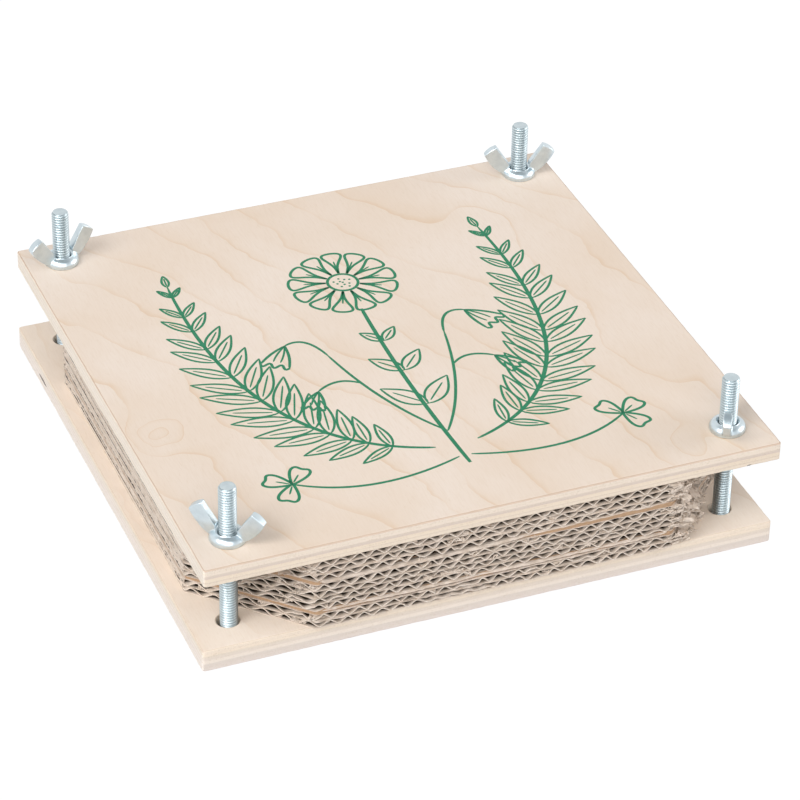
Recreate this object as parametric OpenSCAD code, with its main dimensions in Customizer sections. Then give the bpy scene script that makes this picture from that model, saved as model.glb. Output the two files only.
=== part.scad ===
// Flower press: two square plywood boards are drawn together by four bolts with
// wing nuts, over a stack of corrugated sheets parted by smooth blotting cards.
// Millimetres. The origin is the middle of the press on the bottom board's
// underside: X runs along the front edge, Y to the back and Z up.

/* [Boards] */
// Length of each side of the square boards
board_w = 200; // [150:1:300]
// Thickness of the bottom board
bottom_t = 8; // [6:0.5:15]
// Thickness of the top board
top_t = 6.5; // [4:0.5:12]
// Radius of the boards' four corners, seen from above
board_corner_r = 1; // [1:0.5:10]
// Bevel that breaks the boards' sharp edges
board_bevel = 0.4; // [0.2:0.1:0.8]
// Diameter of the bolt holes through both boards
hole_d = 7.7; // [6.8:0.1:9]
// Distance of each bolt's axis from the boards' edges
bolt_inset = 13; // [11:0.5:20]

/* [Bolts] */
// Outer diameter of the thread
bolt_d = 6; // [5:0.1:6.6]
// How far each bolt stands above the top board
bolt_stand = 20.5; // [16:0.5:35]
// Diameter of the flat bolt head
head_d = 14; // [11:0.5:16]
// Thickness of the flat bolt head
head_t = 1.8; // [1.4:0.1:3]
// Distance of the head below the bottom board's underside when it is let in
head_recess = 0.2; // [0.1:0.1:0.8]
// Gap round the head in its recess
head_gap = 0.8; // [0.7:0.1:1.2]
// Width across the flats of the hexagon socket in the head
socket_w = 4; // [2.5:0.5:5]
// Depth of the hexagon socket
socket_h = 1.5; // [0.5:0.1:1.8]

/* [Wing nuts] */
// Width of each wing nut from wing tip to wing tip
nut_span = 25; // [23:0.2:32]
// Height of each wing nut
nut_h = 11.5; // [10:0.5:16]
// Diameter of the round foot
foot_d = 12.2; // [10.6:0.2:14]
// Diameter of the collar on top of the foot
collar_d = 8.4; // [7.6:0.2:10]
// Height of the collar's rim above the board
collar_h = 3.6; // [3:0.1:6]
// Width of each wing, measured along its end
wing_w = 5.1; // [4:0.1:6.4]
// Thickness of each wing
wing_t = 3; // [1.8:0.1:4]
// Angle at which each wing leans out from upright
wing_lean = 35; // [25:1:45]

/* [Sheets] */
// Number of corrugated sheets under the lower card
low_count = 2; // [1:1:4]
// Number of corrugated sheets between the two cards
mid_count = 4; // [1:1:6]
// Number of corrugated sheets over the upper card
top_count = 3; // [1:1:4]
// Thickness of one corrugated sheet
sheet_t = 2.6; // [2:0.1:5]
// Distance between two flute crests
flute_pitch = 6.1; // [4:0.1:9]
// Thickness of the paper in the flutes and in both faces
paper_t = 0.28; // [0.15:0.01:0.4]
// Thickness of one smooth card
card_t = 1.35; // [0.5:0.05:3]
// Distance that the sheets stay behind the boards' left and right edges
side_margin = 4.5; // [1:0.5:8]
// Distance that the sheets stay behind the boards' front and back edges
end_margin = 2.5; // [1:0.5:8]
// Distance between a bolt and the cut corners of the sheets
corner_gap = 7; // [5:0.5:14]
// How far forward of the boards' middle the loose stack lies
stack_forward = 3.1; // [0:0.1:3.5]

/* [Hidden] */
// Smoothness of round surfaces
$fn = 64;
// Running clearance between the nut's bore and the bolt, on the radius
thread_clearance = 0.05;
// Bevels of the bolt's end, its head, and the nut's foot and collar
bolt_bevel = 0.55;
head_bevel = 0.4;
nut_bevel = 0.3;
// Bevel that opens the top of the nut's bore
bore_bevel = 0.5;
// Height of the straight band round the nut's foot, and where its wings start
foot_band_h = 1.3;
wing_root_h = 1.1;
// Bulge of the nut's domed shoulder, of a wing's outer edge and of its end
dome_bow = 0.4;
wing_bow = 0.8;
wing_end_bow = 0.35;
// Overrun of every cut past the face that it opens
overrun = 1;
// Straight pieces in each bowed edge and under each flute
bow_steps = 8;
flute_steps = 6;
// Hollows past those that fill a sheet's width, which open its outer flutes
spare_hollows = 1;
// Share of the play in the holes that each board takes up, towards X and Y
play_shares = [0.25, -0.75];
// Direction of the wings of each nut, in degrees from the X axis
nut_angles = [137, 61, 17, 167];

// Corners in the order of all lists: front left, front right, back left, back right
corner_names = ["front_left", "front_right", "back_left", "back_right"];
corner_signs = [[-1, -1], [1, -1], [-1, 1], [1, 1]];
corner_count = len(corner_names);
sheet_count = low_count + mid_count + top_count;
card_names = ["lower", "upper"];
card_count = len(card_names);

bolt_r = bolt_d / 2;
hole_r = hole_d / 2;
hole_play = hole_r - bolt_r;
top_shift = hole_play * play_shares;
bottom_shift = -top_shift;
bolt_span = board_w / 2 - bolt_inset;

stack_h = sheet_count * sheet_t + card_count * card_t;
top_z = bottom_t + stack_h;
nut_z = top_z + top_t;
recess_h = head_recess + head_t;
recess_r = head_d / 2 + head_gap;
bolt_end_z = nut_z + bolt_stand;

sheet_w = board_w - 2 * side_margin;
sheet_d = board_w - 2 * end_margin;
cut_reach = (bolt_r + corner_gap) * sqrt(2);
corner_cut = cut_reach + 2 * bolt_inset - side_margin - end_margin;

bore_r = bolt_r + thread_clearance;
foot_r = foot_d / 2;
collar_r = collar_d / 2;
throat_r = (bore_r + collar_r) / 2;

// Points of an arc from p to q that bulges to its right-hand side by bow
function arc_points(p, q, bow) =
    let (chord = q - p, half = norm(chord) / 2, side = [chord[1], -chord[0]] / (2 * half))
    let (radius = (half * half + bow * bow) / (2 * bow), reach = asin(half / radius))
    let (centre = (p + q) / 2 + side * (bow - radius))
    [for (i = [0:bow_steps])
        let (turn = reach * (2 * i / bow_steps - 1))
        centre + side * radius * cos(turn) + chord / (2 * half) * radius * sin(turn)];

// Height of a sheet's underside, counting corrugated sheets from 0 upwards
function sheet_z(i) =
    bottom_t + i * sheet_t
    + (i >= low_count ? card_t : 0)
    + (i >= low_count + mid_count ? card_t : 0);

// Height of a card's underside, counting cards from 0 upwards
function card_z(i) =
    bottom_t + i * card_t + (low_count + i * mid_count) * sheet_t;

// Half of the room between a sheet's two faces, and the swing of its flute
room_half = sheet_t / 2 - paper_t;
swing = room_half - paper_t / 2;

// Half height of the fluted paper at x, wider on its slopes so that the paper
// itself keeps one thickness
function paper_half(x) =
    let (slope = swing * PI * 2 / flute_pitch * sin(360 * x / flute_pitch))
    paper_t / 2 * sqrt(1 + slope * slope);

// Outline of the hollow under one crest: flat on the lower face, and bounded
// above by the underside of the wave, which is a cosine
function hollow_points() =
    let (half_w = acos((paper_t - room_half) / swing) / 360 * flute_pitch)
    concat(
        [[-half_w, -room_half]],
        [for (i = [1:flute_steps - 1])
            let (x = half_w * (2 * i / flute_steps - 1))
            [x, swing * cos(360 * x / flute_pitch) - paper_half(x)]],
        [[half_w, -room_half]]
    );

// Square board with rounded corners and beveled edges, standing on z = 0
module board_plate(t) {
    half = board_w / 2;
    core = half - board_corner_r;
    edge_profile = [
        [-half + board_bevel, 0], [half - board_bevel, 0],
        [half, board_bevel], [half, t - board_bevel],
        [half - board_bevel, t], [-half + board_bevel, t],
        [-half, t - board_bevel], [-half, board_bevel]
    ];
    corner_profile = [
        [0, 0], [board_corner_r - board_bevel, 0],
        [board_corner_r, board_bevel], [board_corner_r, t - board_bevel],
        [board_corner_r - board_bevel, t], [0, t]
    ];
    for (turn = [0, 90])
        rotate([90, 0, turn])
            translate([0, 0, -core])
                linear_extrude(2 * core)
                    polygon(edge_profile);
    for (s = corner_signs)
        translate([s[0] * core, s[1] * core, 0])
            rotate_extrude()
                polygon(corner_profile);
}

// Places its children on all four bolt axes
module at_bolts() {
    for (s = corner_signs)
        translate([s[0] * bolt_span, s[1] * bolt_span, 0])
            children();
}

module bottom_board() {
    color("burlywood")
        difference() {
            translate([bottom_shift[0], bottom_shift[1], 0])
                board_plate(bottom_t);
            translate([bottom_shift[0], bottom_shift[1], 0])
                at_bolts() {
                    translate([0, 0, -overrun])
                        cylinder(r = hole_r, h = bottom_t + 2 * overrun);
                    translate([0, 0, -overrun])
                        cylinder(r = recess_r, h = recess_h + overrun);
                }
        }
}

module top_board() {
    color("wheat")
        translate([top_shift[0], top_shift[1], top_z])
            difference() {
                board_plate(top_t);
                at_bolts()
                    translate([0, 0, -overrun])
                        cylinder(r = hole_r, h = top_t + 2 * overrun);
            }
}

// Flat-headed bolt with its head let into the bottom board
module bolt(i) {
    s = corner_signs[i];
    head_r = head_d / 2;
    color("silver")
        translate([s[0] * bolt_span, s[1] * bolt_span, 0])
            difference() {
                rotate_extrude()
                    polygon([
                        [0, head_recess],
                        [head_r - head_bevel, head_recess],
                        [head_r, head_recess + head_bevel],
                        [head_r, recess_h],
                        [bolt_r, recess_h],
                        [bolt_r, bolt_end_z - bolt_bevel],
                        [bolt_r - bolt_bevel, bolt_end_z],
                        [0, bolt_end_z]
                    ]);
                translate([0, 0, head_recess - overrun])
                    cylinder(d = socket_w / cos(30), h = socket_h + overrun, $fn = 6);
            }
}

// Round foot, domed shoulder and collar of a wing nut, as a turned profile
module nut_boss() {
    rotate_extrude()
        polygon(concat(
            [
                [0, 0],
                [foot_r - nut_bevel, 0],
                [foot_r, nut_bevel]
            ],
            arc_points([foot_r, foot_band_h], [collar_r, collar_h - nut_bevel], dome_bow),
            [
                [collar_r - nut_bevel, collar_h],
                [0, collar_h]
            ]
        ));
}

// One flat wing that rises from the foot, in the plane through the nut's axis
module nut_wing() {
    tip_out = [nut_span / 2, nut_h - wing_w * sin(wing_lean)];
    tip_in = [nut_span / 2 - wing_w * cos(wing_lean), nut_h];
    throat_h = nut_h - (tip_in[0] - throat_r) / tan(wing_lean);
    root_out = [foot_r - nut_bevel, wing_root_h];
    rotate([90, 0, 0])
        translate([0, 0, -wing_t / 2])
            linear_extrude(wing_t)
                polygon(concat(
                    [[throat_r, wing_root_h]],
                    arc_points(root_out, tip_out, wing_bow),
                    arc_points(tip_out, tip_in, wing_end_bow),
                    [[throat_r, throat_h]]
                ));
}

module wing_nut(i) {
    s = corner_signs[i];
    color("lightsteelblue")
        translate([s[0] * bolt_span, s[1] * bolt_span, nut_z])
            rotate([0, 0, nut_angles[i]])
                difference() {
                    union() {
                        nut_boss();
                        nut_wing();
                        rotate([0, 0, 180])
                            nut_wing();
                    }
                    translate([0, 0, -overrun])
                        cylinder(r = bore_r, h = nut_h + 2 * overrun);
                    translate([0, 0, collar_h - bore_bevel])
                        cylinder(r1 = bore_r, r2 = bore_r + bore_bevel, h = bore_bevel);
                }
}

// Rectangle with cut corners that every sheet and card shares
module sheet_outline() {
    half_w = sheet_w / 2;
    half_d = sheet_d / 2;
    flat_w = half_w - corner_cut;
    flat_d = half_d - corner_cut;
    translate([0, -stack_forward])
        polygon([
            [-flat_w, -half_d], [flat_w, -half_d], [half_w, -flat_d], [half_w, flat_d],
            [flat_w, half_d], [-flat_w, half_d], [-half_w, flat_d], [-half_w, -flat_d]
        ]);
}

// Single-wall corrugated sheet: two flat faces with a wave of paper between
// them, whose flutes run from the front to the back
module corrugated_sheet(i) {
    hollows = ceil(sheet_w / flute_pitch) + spare_hollows;
    color("tan")
        translate([0, 0, sheet_z(i)])
            difference() {
                linear_extrude(sheet_t)
                    sheet_outline();
                translate([0, sheet_d / 2 + overrun, sheet_t / 2])
                    rotate([90, 0, 0])
                        linear_extrude(sheet_d + stack_forward + 2 * overrun)
                            for (k = [0:hollows]) {
                                translate([(k - hollows / 2) * flute_pitch, 0])
                                    polygon(hollow_points());
                                if (k < hollows)
                                    translate([(k + 1 / 2 - hollows / 2) * flute_pitch, 0])
                                        mirror([0, 1])
                                            polygon(hollow_points());
                            }
            }
}

module blotting_card(i) {
    color("peru")
        translate([0, 0, card_z(i)])
            linear_extrude(card_t)
                sheet_outline();
}

bottom_board();
top_board();
for (i = [0:corner_count - 1]) {
    bolt(i);
    wing_nut(i);
}
for (i = [0:sheet_count - 1])
    corrugated_sheet(i);
for (i = [0:card_count - 1])
    blotting_card(i);
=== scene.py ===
"""Looks of a wooden flower press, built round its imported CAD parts.

Every shape is worked out in millimetres in the frame of the CAD parts and becomes metres
when its mesh is made. X runs along the front edge, Y to the back and Z up.
"""

from __future__ import annotations

import logging
import math
from dataclasses import dataclass
from enum import Enum
from typing import Any, Sequence

import bmesh
import bpy
import numpy as np
from mathutils import Matrix, Vector
from mathutils.geometry import tessellate_polygon

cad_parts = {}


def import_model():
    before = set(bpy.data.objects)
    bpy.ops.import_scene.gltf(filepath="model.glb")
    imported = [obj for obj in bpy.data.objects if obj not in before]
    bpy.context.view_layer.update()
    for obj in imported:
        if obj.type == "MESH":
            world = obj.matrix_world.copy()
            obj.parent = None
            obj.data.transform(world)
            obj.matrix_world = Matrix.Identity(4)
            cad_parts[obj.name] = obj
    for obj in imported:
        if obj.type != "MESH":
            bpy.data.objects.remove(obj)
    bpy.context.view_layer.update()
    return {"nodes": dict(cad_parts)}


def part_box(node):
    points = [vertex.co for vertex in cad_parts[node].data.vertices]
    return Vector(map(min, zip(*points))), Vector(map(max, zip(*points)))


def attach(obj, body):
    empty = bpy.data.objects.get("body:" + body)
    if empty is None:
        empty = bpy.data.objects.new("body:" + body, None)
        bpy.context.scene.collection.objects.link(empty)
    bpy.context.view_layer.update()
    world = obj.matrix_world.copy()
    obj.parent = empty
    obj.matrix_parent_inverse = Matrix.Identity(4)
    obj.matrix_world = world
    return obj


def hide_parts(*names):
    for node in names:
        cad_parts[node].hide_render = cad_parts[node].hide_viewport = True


MM = 0.001
SQUARE = ((-1, -1), (1, -1), (1, 1), (-1, 1))
LOG = logging.getLogger("flower_press")
Tree = bpy.types.NodeTree
Socket = bpy.types.NodeSocket
Array = np.ndarray
Pair = tuple[float, float]
Triple = tuple[float, float, float]

# Helpers for colour, noise and nodes


def linear(code: str) -> tuple[float, float, float, float]:
    """Turns an sRGB hex colour into the linear colour that shaders read.

    Args:
        code: The colour as "#RRGGBB".

    Returns:
        Red, green, blue and alpha.
    """
    shares = [int(code[i:i + 2], 16) / 255 for i in (1, 3, 5)]
    lit = [s / 12.92 if s <= 0.04045 else ((s + 0.055) / 1.055) ** 2.4 for s in shares]
    return (*lit, 1.0)


def add_node(
    tree: Tree, kind: str, inputs: dict[str | int, Any] | None = None, **settings: Any
) -> bpy.types.Node:
    """Adds one node with its settings, and fills or links its inputs.

    Args:
        tree: The tree that gets the node.
        kind: Blender's name for the node's type.
        inputs: What each input gets, by name or number: a value, a hex colour, or a link
            from a socket or from a node's first output.
        settings: Properties of the node.

    Returns:
        The node.
    """
    node = tree.nodes.new(kind)
    for name, value in settings.items():
        setattr(node, name, value)
    for socket, value in (inputs or {}).items():
        if isinstance(value, bpy.types.Node):
            value = value.outputs[0]
        if isinstance(value, Socket):
            tree.links.new(value, node.inputs[socket])
        else:
            node.inputs[socket].default_value = linear(value) if isinstance(value, str) else value
    return node


def set_stops(ramp: bpy.types.Node, stops: Sequence[tuple[float, str]]) -> Socket:
    """Gives a colour ramp its stops.

    Args:
        ramp: The ramp's node.
        stops: Place from 0 to 1 and hex colour of each stop, in rising order.

    Returns:
        The ramp's colour output.
    """
    elements = ramp.color_ramp.elements
    while len(elements) < len(stops):
        elements.new(0.5)
    for element, (place, code) in zip(elements, stops):
        element.position = place
        element.color = linear(code)
    return ramp.outputs[0]


class Wander:
    """Smooth random lines and fields, the same in each run.

    Where a number is added to a place before it goes in, another stretch is read.
    """

    TABLE = 4093
    LEAP_X, LEAP_Y = 71, 1877

    def __init__(self, seed: int) -> None:
        """Draws the table of random values.

        Args:
            seed: Number that fixes the values.
        """
        self.table = np.random.default_rng(seed).uniform(-1.0, 1.0, self.TABLE)

    def line(self, x: Array, step: float) -> Array:
        """Joins random values, one at each whole step, by a smooth blend.

        Args:
            x: Places along the line.
            step: Distance between two random values.

        Returns:
            Values from -1 to 1.
        """
        return self.field(x, np.zeros_like(x), step, 1.0)

    def field(self, x: Array, y: Array, step_x: float, step_y: float) -> Array:
        """Blends random values on a lattice, smoothly along both axes.

        With a the share of the way to the next lattice line, its value counts 3a^2 - 2a^3.

        Args:
            x: First coordinates.
            y: Second coordinates.
            step_x: Lattice distance along the first axis.
            step_y: Lattice distance along the second axis.

        Returns:
            Values from -1 to 1.
        """
        u, v = x / step_x, y / step_y
        i, j = np.floor(u).astype(int), np.floor(v).astype(int)
        a, b = u - i, v - j
        a, b = a * a * (3 - 2 * a), b * b * (3 - 2 * b)

        def value(di: int, dj: int) -> Array:
            """Random value at a lattice corner."""
            return self.table[((i + di) * self.LEAP_X + (j + dj) * self.LEAP_Y) % self.TABLE]

        low = value(0, 0) + (value(1, 0) - value(0, 0)) * a
        high = value(0, 1) + (value(1, 1) - value(0, 1)) * a
        return low + (high - low) * b


class Shell:
    """Gathers closed surfaces as whole arrays, in millimetres, and makes one mesh of them.

    Each face carries a tint from -1 to 1, which its finish reads. It is 1 on a cut edge of
    paper, which takes the finish's second tone, and in the root of a thread, which takes a
    painted shade, and -1 deep in a flute, where a painted shade darkens the paper.
    """

    def __init__(self) -> None:
        """Starts with no surface."""
        self.points: list[Array] = []
        self.faces: list[Array] = []
        self.materials: list[Array] = []
        self.tints: list[Array] = []
        self.count = 0

    def add(self, points: Array, faces: Array, material: int = 0, tint: float | Array = 0.0) -> None:
        """Adds points and the faces between them.

        Args:
            points: Array of points, three numbers each.
            faces: Array of faces, three or four point numbers each.
            material: Material slot of the faces.
            tint: Tint of all faces, or of each.
        """
        self.points.append(points.reshape(-1, 3))
        self.join(faces + self.count, material, tint)
        self.count += len(self.points[-1])

    def join(self, faces: Array, material: int = 0, tint: float | Array = 0.0) -> None:
        """Adds faces between points that are already there.

        Args:
            faces: Array of faces, three or four point numbers each.
            material: Material slot of the faces.
            tint: Tint of all faces, or of each.
        """
        self.faces.append(faces)
        self.materials.append(np.full(len(faces), material))
        self.tints.append(np.broadcast_to(np.asarray(tint, float), (len(faces),)))

    def grid(
        self, points: Array, close_u: bool = False, close_v: bool = False, material: int = 0
    ) -> None:
        """Adds a grid whose faces look along the cross product of its u and v directions.

        Args:
            points: Points, indexed by u, v and axis.
            close_u: Whether the last row joins the first.
            close_v: Whether the last column joins the first.
            material: Material slot of the faces.
        """
        rows, columns = points.shape[:2]
        number = np.arange(rows * columns).reshape(rows, columns)
        if close_u:
            number = np.vstack([number, number[:1]])
        if close_v:
            number = np.hstack([number, number[:, :1]])
        corners = number[:-1, :-1], number[1:, :-1], number[1:, 1:], number[:-1, 1:]
        self.add(points, np.stack(corners, axis=-1).reshape(-1, 4), material)

    def slab(self, lower: Array, upper: Array, edge: float = 1.0, sides: float | Array = 0.0) -> None:
        """Adds a closed sheet between a lower and an upper grid, whose four walls are cut edges.

        Args:
            lower: Points of the underside, indexed by u, v and axis.
            upper: Points of the top side, which lies along the cross product of u and v.
            edge: Tint of the four walls.
            sides: Tint of the two broad sides, or of each of their cells.
        """
        rows, columns = lower.shape[:2]
        low = self.count + np.arange(rows * columns).reshape(rows, columns)
        high = low + rows * columns
        self.points.append(np.concatenate([lower, upper]).reshape(-1, 3))
        self.count += 2 * rows * columns
        top = high[:-1, :-1], high[1:, :-1], high[1:, 1:], high[:-1, 1:]
        under = low[:-1, :-1], low[:-1, 1:], low[1:, 1:], low[1:, :-1]
        cells = np.broadcast_to(sides, (rows - 1, columns - 1)).ravel()
        for corners in (top, under):
            self.join(np.stack(corners, axis=-1).reshape(-1, 4), tint=cells)
        front = low[:-1, 0], low[1:, 0], high[1:, 0], high[:-1, 0]
        back = low[1:, -1], low[:-1, -1], high[:-1, -1], high[1:, -1]
        left = low[0, 1:], low[0, :-1], high[0, :-1], high[0, 1:]
        right = low[-1, :-1], low[-1, 1:], high[-1, 1:], high[-1, :-1]
        for wall in (front, back, left, right):
            self.join(np.stack(wall, axis=-1), tint=edge)

    def piece(
        self, name: str, finishes: Sequence["Finish"], sharp_degrees: float, merge: float = 0.0
    ) -> bpy.types.Object:
        """Makes one object of all that was gathered.

        Args:
            name: Name of the piece.
            finishes: A finish for each material slot.
            sharp_degrees: Edges that turn by more than this stay sharp.
            merge: Distance under which points become one, or 0 to merge none.

        Returns:
            The piece, with its place in its mesh.
        """
        mesh = bpy.data.meshes.new(name)
        corners = [face for faces in self.faces for face in faces.tolist()]
        mesh.from_pydata(np.concatenate(self.points) * MM, [], corners)
        mesh.polygons.foreach_set("material_index", np.concatenate(self.materials).astype(np.int32))
        tint = mesh.attributes.new("tint", "FLOAT", "FACE")
        tint.data.foreach_set("value", np.concatenate(self.tints).astype(np.float32))
        if merge:
            tidy_mesh(mesh, merge * MM)
        return finish_piece(mesh, name, finishes, sharp_degrees)


def tidy_mesh(mesh: bpy.types.Mesh, distance: float) -> None:
    """Merges points that lie together and removes what that leaves without area.

    Args:
        mesh: The mesh to change.
        distance: Largest distance between points that become one, in metres.
    """
    work = bmesh.new()
    work.from_mesh(mesh)
    bmesh.ops.remove_doubles(work, verts=work.verts, dist=distance)
    bmesh.ops.dissolve_degenerate(work, edges=work.edges, dist=distance)
    work.to_mesh(mesh)
    work.free()


def finish_piece(
    mesh: bpy.types.Mesh, name: str, finishes: Sequence["Finish"], sharp_degrees: float
) -> bpy.types.Object:
    """Shades a mesh, gives it its materials and puts it into the scene.

    Args:
        mesh: The mesh of the piece.
        name: Name of the piece.
        finishes: A finish for each material slot.
        sharp_degrees: Edges that turn by more than this stay sharp.

    Returns:
        The new object, at the origin.
    """
    mesh.polygons.foreach_set("use_smooth", np.ones(len(mesh.polygons), bool))
    mesh.set_sharp_from_angle(angle=math.radians(sharp_degrees))
    for finish in finishes:
        mesh.materials.append(finish.material())
    piece = bpy.data.objects.new(name, mesh)
    bpy.context.scene.collection.objects.link(piece)
    return piece


def stand_for(piece: bpy.types.Object, node: str, body: str) -> None:
    """Lets a piece stand for a CAD node and move with its body.

    Args:
        piece: The finished piece.
        node: The CAD node that it replaces.
        body: The body that it rides on.
    """
    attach(piece, body)
    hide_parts(node)
    LOG.info("%s stands for %s, %d faces", piece.name, node, len(piece.data.polygons))


def box_mm(node: str) -> tuple[Array, Array]:
    """Lowest and highest corner of a CAD node in millimetres."""
    low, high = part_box(node)
    return np.array(low) / MM, np.array(high) / MM


def points_mm(mesh: bpy.types.Mesh) -> Array:
    """Reads the points of a mesh.

    Args:
        mesh: The mesh.

    Returns:
        Its points in millimetres.
    """
    flat = np.empty(len(mesh.vertices) * 3)
    mesh.vertices.foreach_get("co", flat)
    return flat.reshape(-1, 3) / MM


def surface(x: Array, y: Array, z: Array) -> Array:
    """Joins three grids of coordinates into one grid of points."""
    return np.stack([x, y, z], axis=2)


def cross_axes(angle: float) -> tuple[Array, Array]:
    """Unit vector at an angle from X, in radians, and the one to its left."""
    along = np.array([math.cos(angle), math.sin(angle)])
    return along, np.array([-along[1], along[0]])


# Finishes


class Finish:
    """A finish makes one material, which all pieces that wear it share."""

    name: str

    def material(self) -> bpy.types.Material:
        """Hands out the material, and makes it the first time.

        Returns:
            The material.
        """
        made = bpy.data.materials.get(self.name)
        if made is None:
            made = bpy.data.materials.new(self.name)
            made.use_nodes = True
            tree = made.node_tree
            tree.nodes.clear()
            place = add_node(tree, "ShaderNodeTexCoord").outputs["Object"]
            metric = add_node(
                tree, "ShaderNodeVectorMath", {0: place, "Scale": 1 / MM}, operation="SCALE"
            )
            shader = add_node(tree, "ShaderNodeBsdfPrincipled", self.paint(tree, metric.outputs[0]))
            add_node(tree, "ShaderNodeOutputMaterial", {"Surface": shader})
        return made

    def paint(self, tree: Tree, place: Socket) -> dict[str, Any]:
        """Works out the finish.

        Args:
            tree: The material's node tree.
            place: Place on the object in millimetres.

        Returns:
            What each input of the Principled shader gets, as add_node takes it.
        """
        raise NotImplementedError


def grain(tree: Tree, place: Socket, size: Triple, detail: float = 2.0) -> Socket:
    """Noise whose spots have a given size along each axis.

    Args:
        tree: The material's node tree.
        place: Place on the object in millimetres.
        size: Size of the spots along X, Y and Z in millimetres.
        detail: How many finer layers it has.

    Returns:
        The noise, from 0 to 1 and mostly near a half.
    """
    shares = add_node(
        tree, "ShaderNodeVectorMath", {0: place, 1: tuple(1 / s for s in size)}, operation="MULTIPLY"
    )
    noise = add_node(tree, "ShaderNodeTexNoise", {"Vector": shares, "Scale": 1.0, "Detail": detail})
    return noise.outputs[0]


@dataclass(frozen=True)
class Knot:
    """A pin knot in the veneer, with the rings that the peeling knife left round it."""

    x: float
    y: float
    reach_x: float
    reach_y: float
    rings: float


@dataclass(frozen=True)
class BirchVeneer(Finish):
    """Rotary-cut birch veneer, sanded and left without varnish.

    The eye gets a pale pinkish cream sheet with hardly any gloss. Each growth ring that the
    knife passed through is a faint ragged tan contour, sharp on one side and fading on the
    other, which comes and goes, and very fine short fibres run from front to back.
    """

    name: str = "sanded_birch_veneer"
    pale: str = "#EDDED0"
    warm: str = "#E7D4C1"
    ring: str = "#DCBB96"
    fibre: str = "#DDC7AF"
    ring_rise: Triple = (0.046, 0.019, 0.0)
    ring_start: float = 0.36
    drift_size: Triple = (75.0, 85.0, 60.0)
    drift: float = 2.6
    warps: tuple[Pair, ...] = ((21.0, 11.0), (6.0, 2.6))
    line_share: float = 0.09
    line: float = 0.42
    halo_share: float = 0.4
    halo: float = 0.18
    fibre_size: Triple = (0.5, 6.0, 4.0)
    fleck_size: Triple = (0.6, 3.0, 3.0)
    cloud_size: Triple = (46.0, 62.0, 40.0)
    wear_size: Triple = (19.0, 31.0, 20.0)
    relief: float = 0.02
    roughness: float = 0.62
    knots: tuple[Knot, ...] = (
        Knot(-88.5, -26.5, 7.0, 10.0, 2.4),
        Knot(66.0, 66.0, 15.0, 21.0, -1.0),
        Knot(80.0, -36.0, 9.0, 26.0, 0.8),
        Knot(71.0, -90.5, 5.0, 8.0, 1.2),
    )

    def warped(self, tree: Tree, place: Socket) -> Socket:
        """Pushes each place to and fro by coarse and then fine noise, so that lines are ragged.

        Args:
            tree: The material's node tree.
            place: Place on the object in millimetres.

        Returns:
            The pushed place.
        """
        for size, reach in self.warps:
            noise = add_node(
                tree, "ShaderNodeTexNoise", {"Vector": place, "Scale": 1 / size, "Detail": 1.0}
            )
            push = add_node(
                tree,
                "ShaderNodeVectorMath",
                {0: noise.outputs["Color"], 1: (0.5, 0.5, 0.5)},
                operation="SUBTRACT",
            )
            place = add_node(
                tree,
                "ShaderNodeVectorMath",
                {0: push, 1: (reach, reach, 0.0), 2: place},
                operation="MULTIPLY_ADD",
            ).outputs[0]
        return place

    def ring_field(self, tree: Tree, place: Socket) -> Socket:
        """Height of the knife over the growth rings, as a count of rings.

        It is the place times the rise per millimetre, plus a slow drift and, for each knot,
        its rings times e to the minus squared distance in units of its reach.

        Args:
            tree: The material's node tree.
            place: Place on the object in millimetres.

        Returns:
            The count of rings.
        """
        slope = add_node(
            tree, "ShaderNodeVectorMath", {0: place, 1: self.ring_rise}, operation="DOT_PRODUCT"
        )
        total = add_node(
            tree, "ShaderNodeMath", {0: slope.outputs["Value"], 1: self.ring_start}
        ).outputs[0]
        total = add_node(
            tree,
            "ShaderNodeMath",
            {0: grain(tree, place, self.drift_size, 1.0), 1: self.drift, 2: total},
            operation="MULTIPLY_ADD",
        ).outputs[0]
        for knot in self.knots:
            away = add_node(
                tree, "ShaderNodeVectorMath", {0: place, 1: (knot.x, knot.y, 0)}, operation="SUBTRACT"
            )
            unit = (1 / knot.reach_x, 1 / knot.reach_y, 0)
            scaled = add_node(
                tree, "ShaderNodeVectorMath", {0: away, 1: unit}, operation="MULTIPLY"
            ).outputs[0]
            square = add_node(
                tree, "ShaderNodeVectorMath", {0: scaled, 1: scaled}, operation="DOT_PRODUCT"
            )
            minus = add_node(
                tree, "ShaderNodeMath", {0: square.outputs["Value"], 1: -1.0}, operation="MULTIPLY"
            )
            bump = add_node(tree, "ShaderNodeMath", {0: minus}, operation="EXPONENT")
            total = add_node(
                tree, "ShaderNodeMath", {0: bump, 1: knot.rings, 2: total}, operation="MULTIPLY_ADD"
            ).outputs[0]
        return total

    def ring_lines(self, tree: Tree, place: Socket) -> Socket:
        """Strength of the tan ring lines: a thin line plus a wide one-sided halo, both fading.

        Args:
            tree: The material's node tree.
            place: Place on the object in millimetres.

        Returns:
            The strength, from 0 to 1.
        """
        count = self.ring_field(tree, self.warped(tree, place))
        share = add_node(tree, "ShaderNodeMath", {0: count}, operation="FRACT").outputs[0]
        line = add_node(
            tree, "ShaderNodeMapRange", {0: share, 1: 0.0, 2: self.line_share, 3: self.line, 4: 0.0}
        )
        halo = add_node(
            tree, "ShaderNodeMapRange", {0: share, 1: 0.0, 2: self.halo_share, 3: self.halo, 4: 0.0}
        )
        both = add_node(tree, "ShaderNodeMath", {0: line, 1: halo})
        worn = grain(tree, place, self.wear_size)
        fade = add_node(tree, "ShaderNodeMapRange", {0: worn, 1: 0.36, 2: 0.6, 3: 0.25, 4: 1.0})
        return add_node(tree, "ShaderNodeMath", {0: both, 1: fade}, operation="MULTIPLY").outputs[0]

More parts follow.
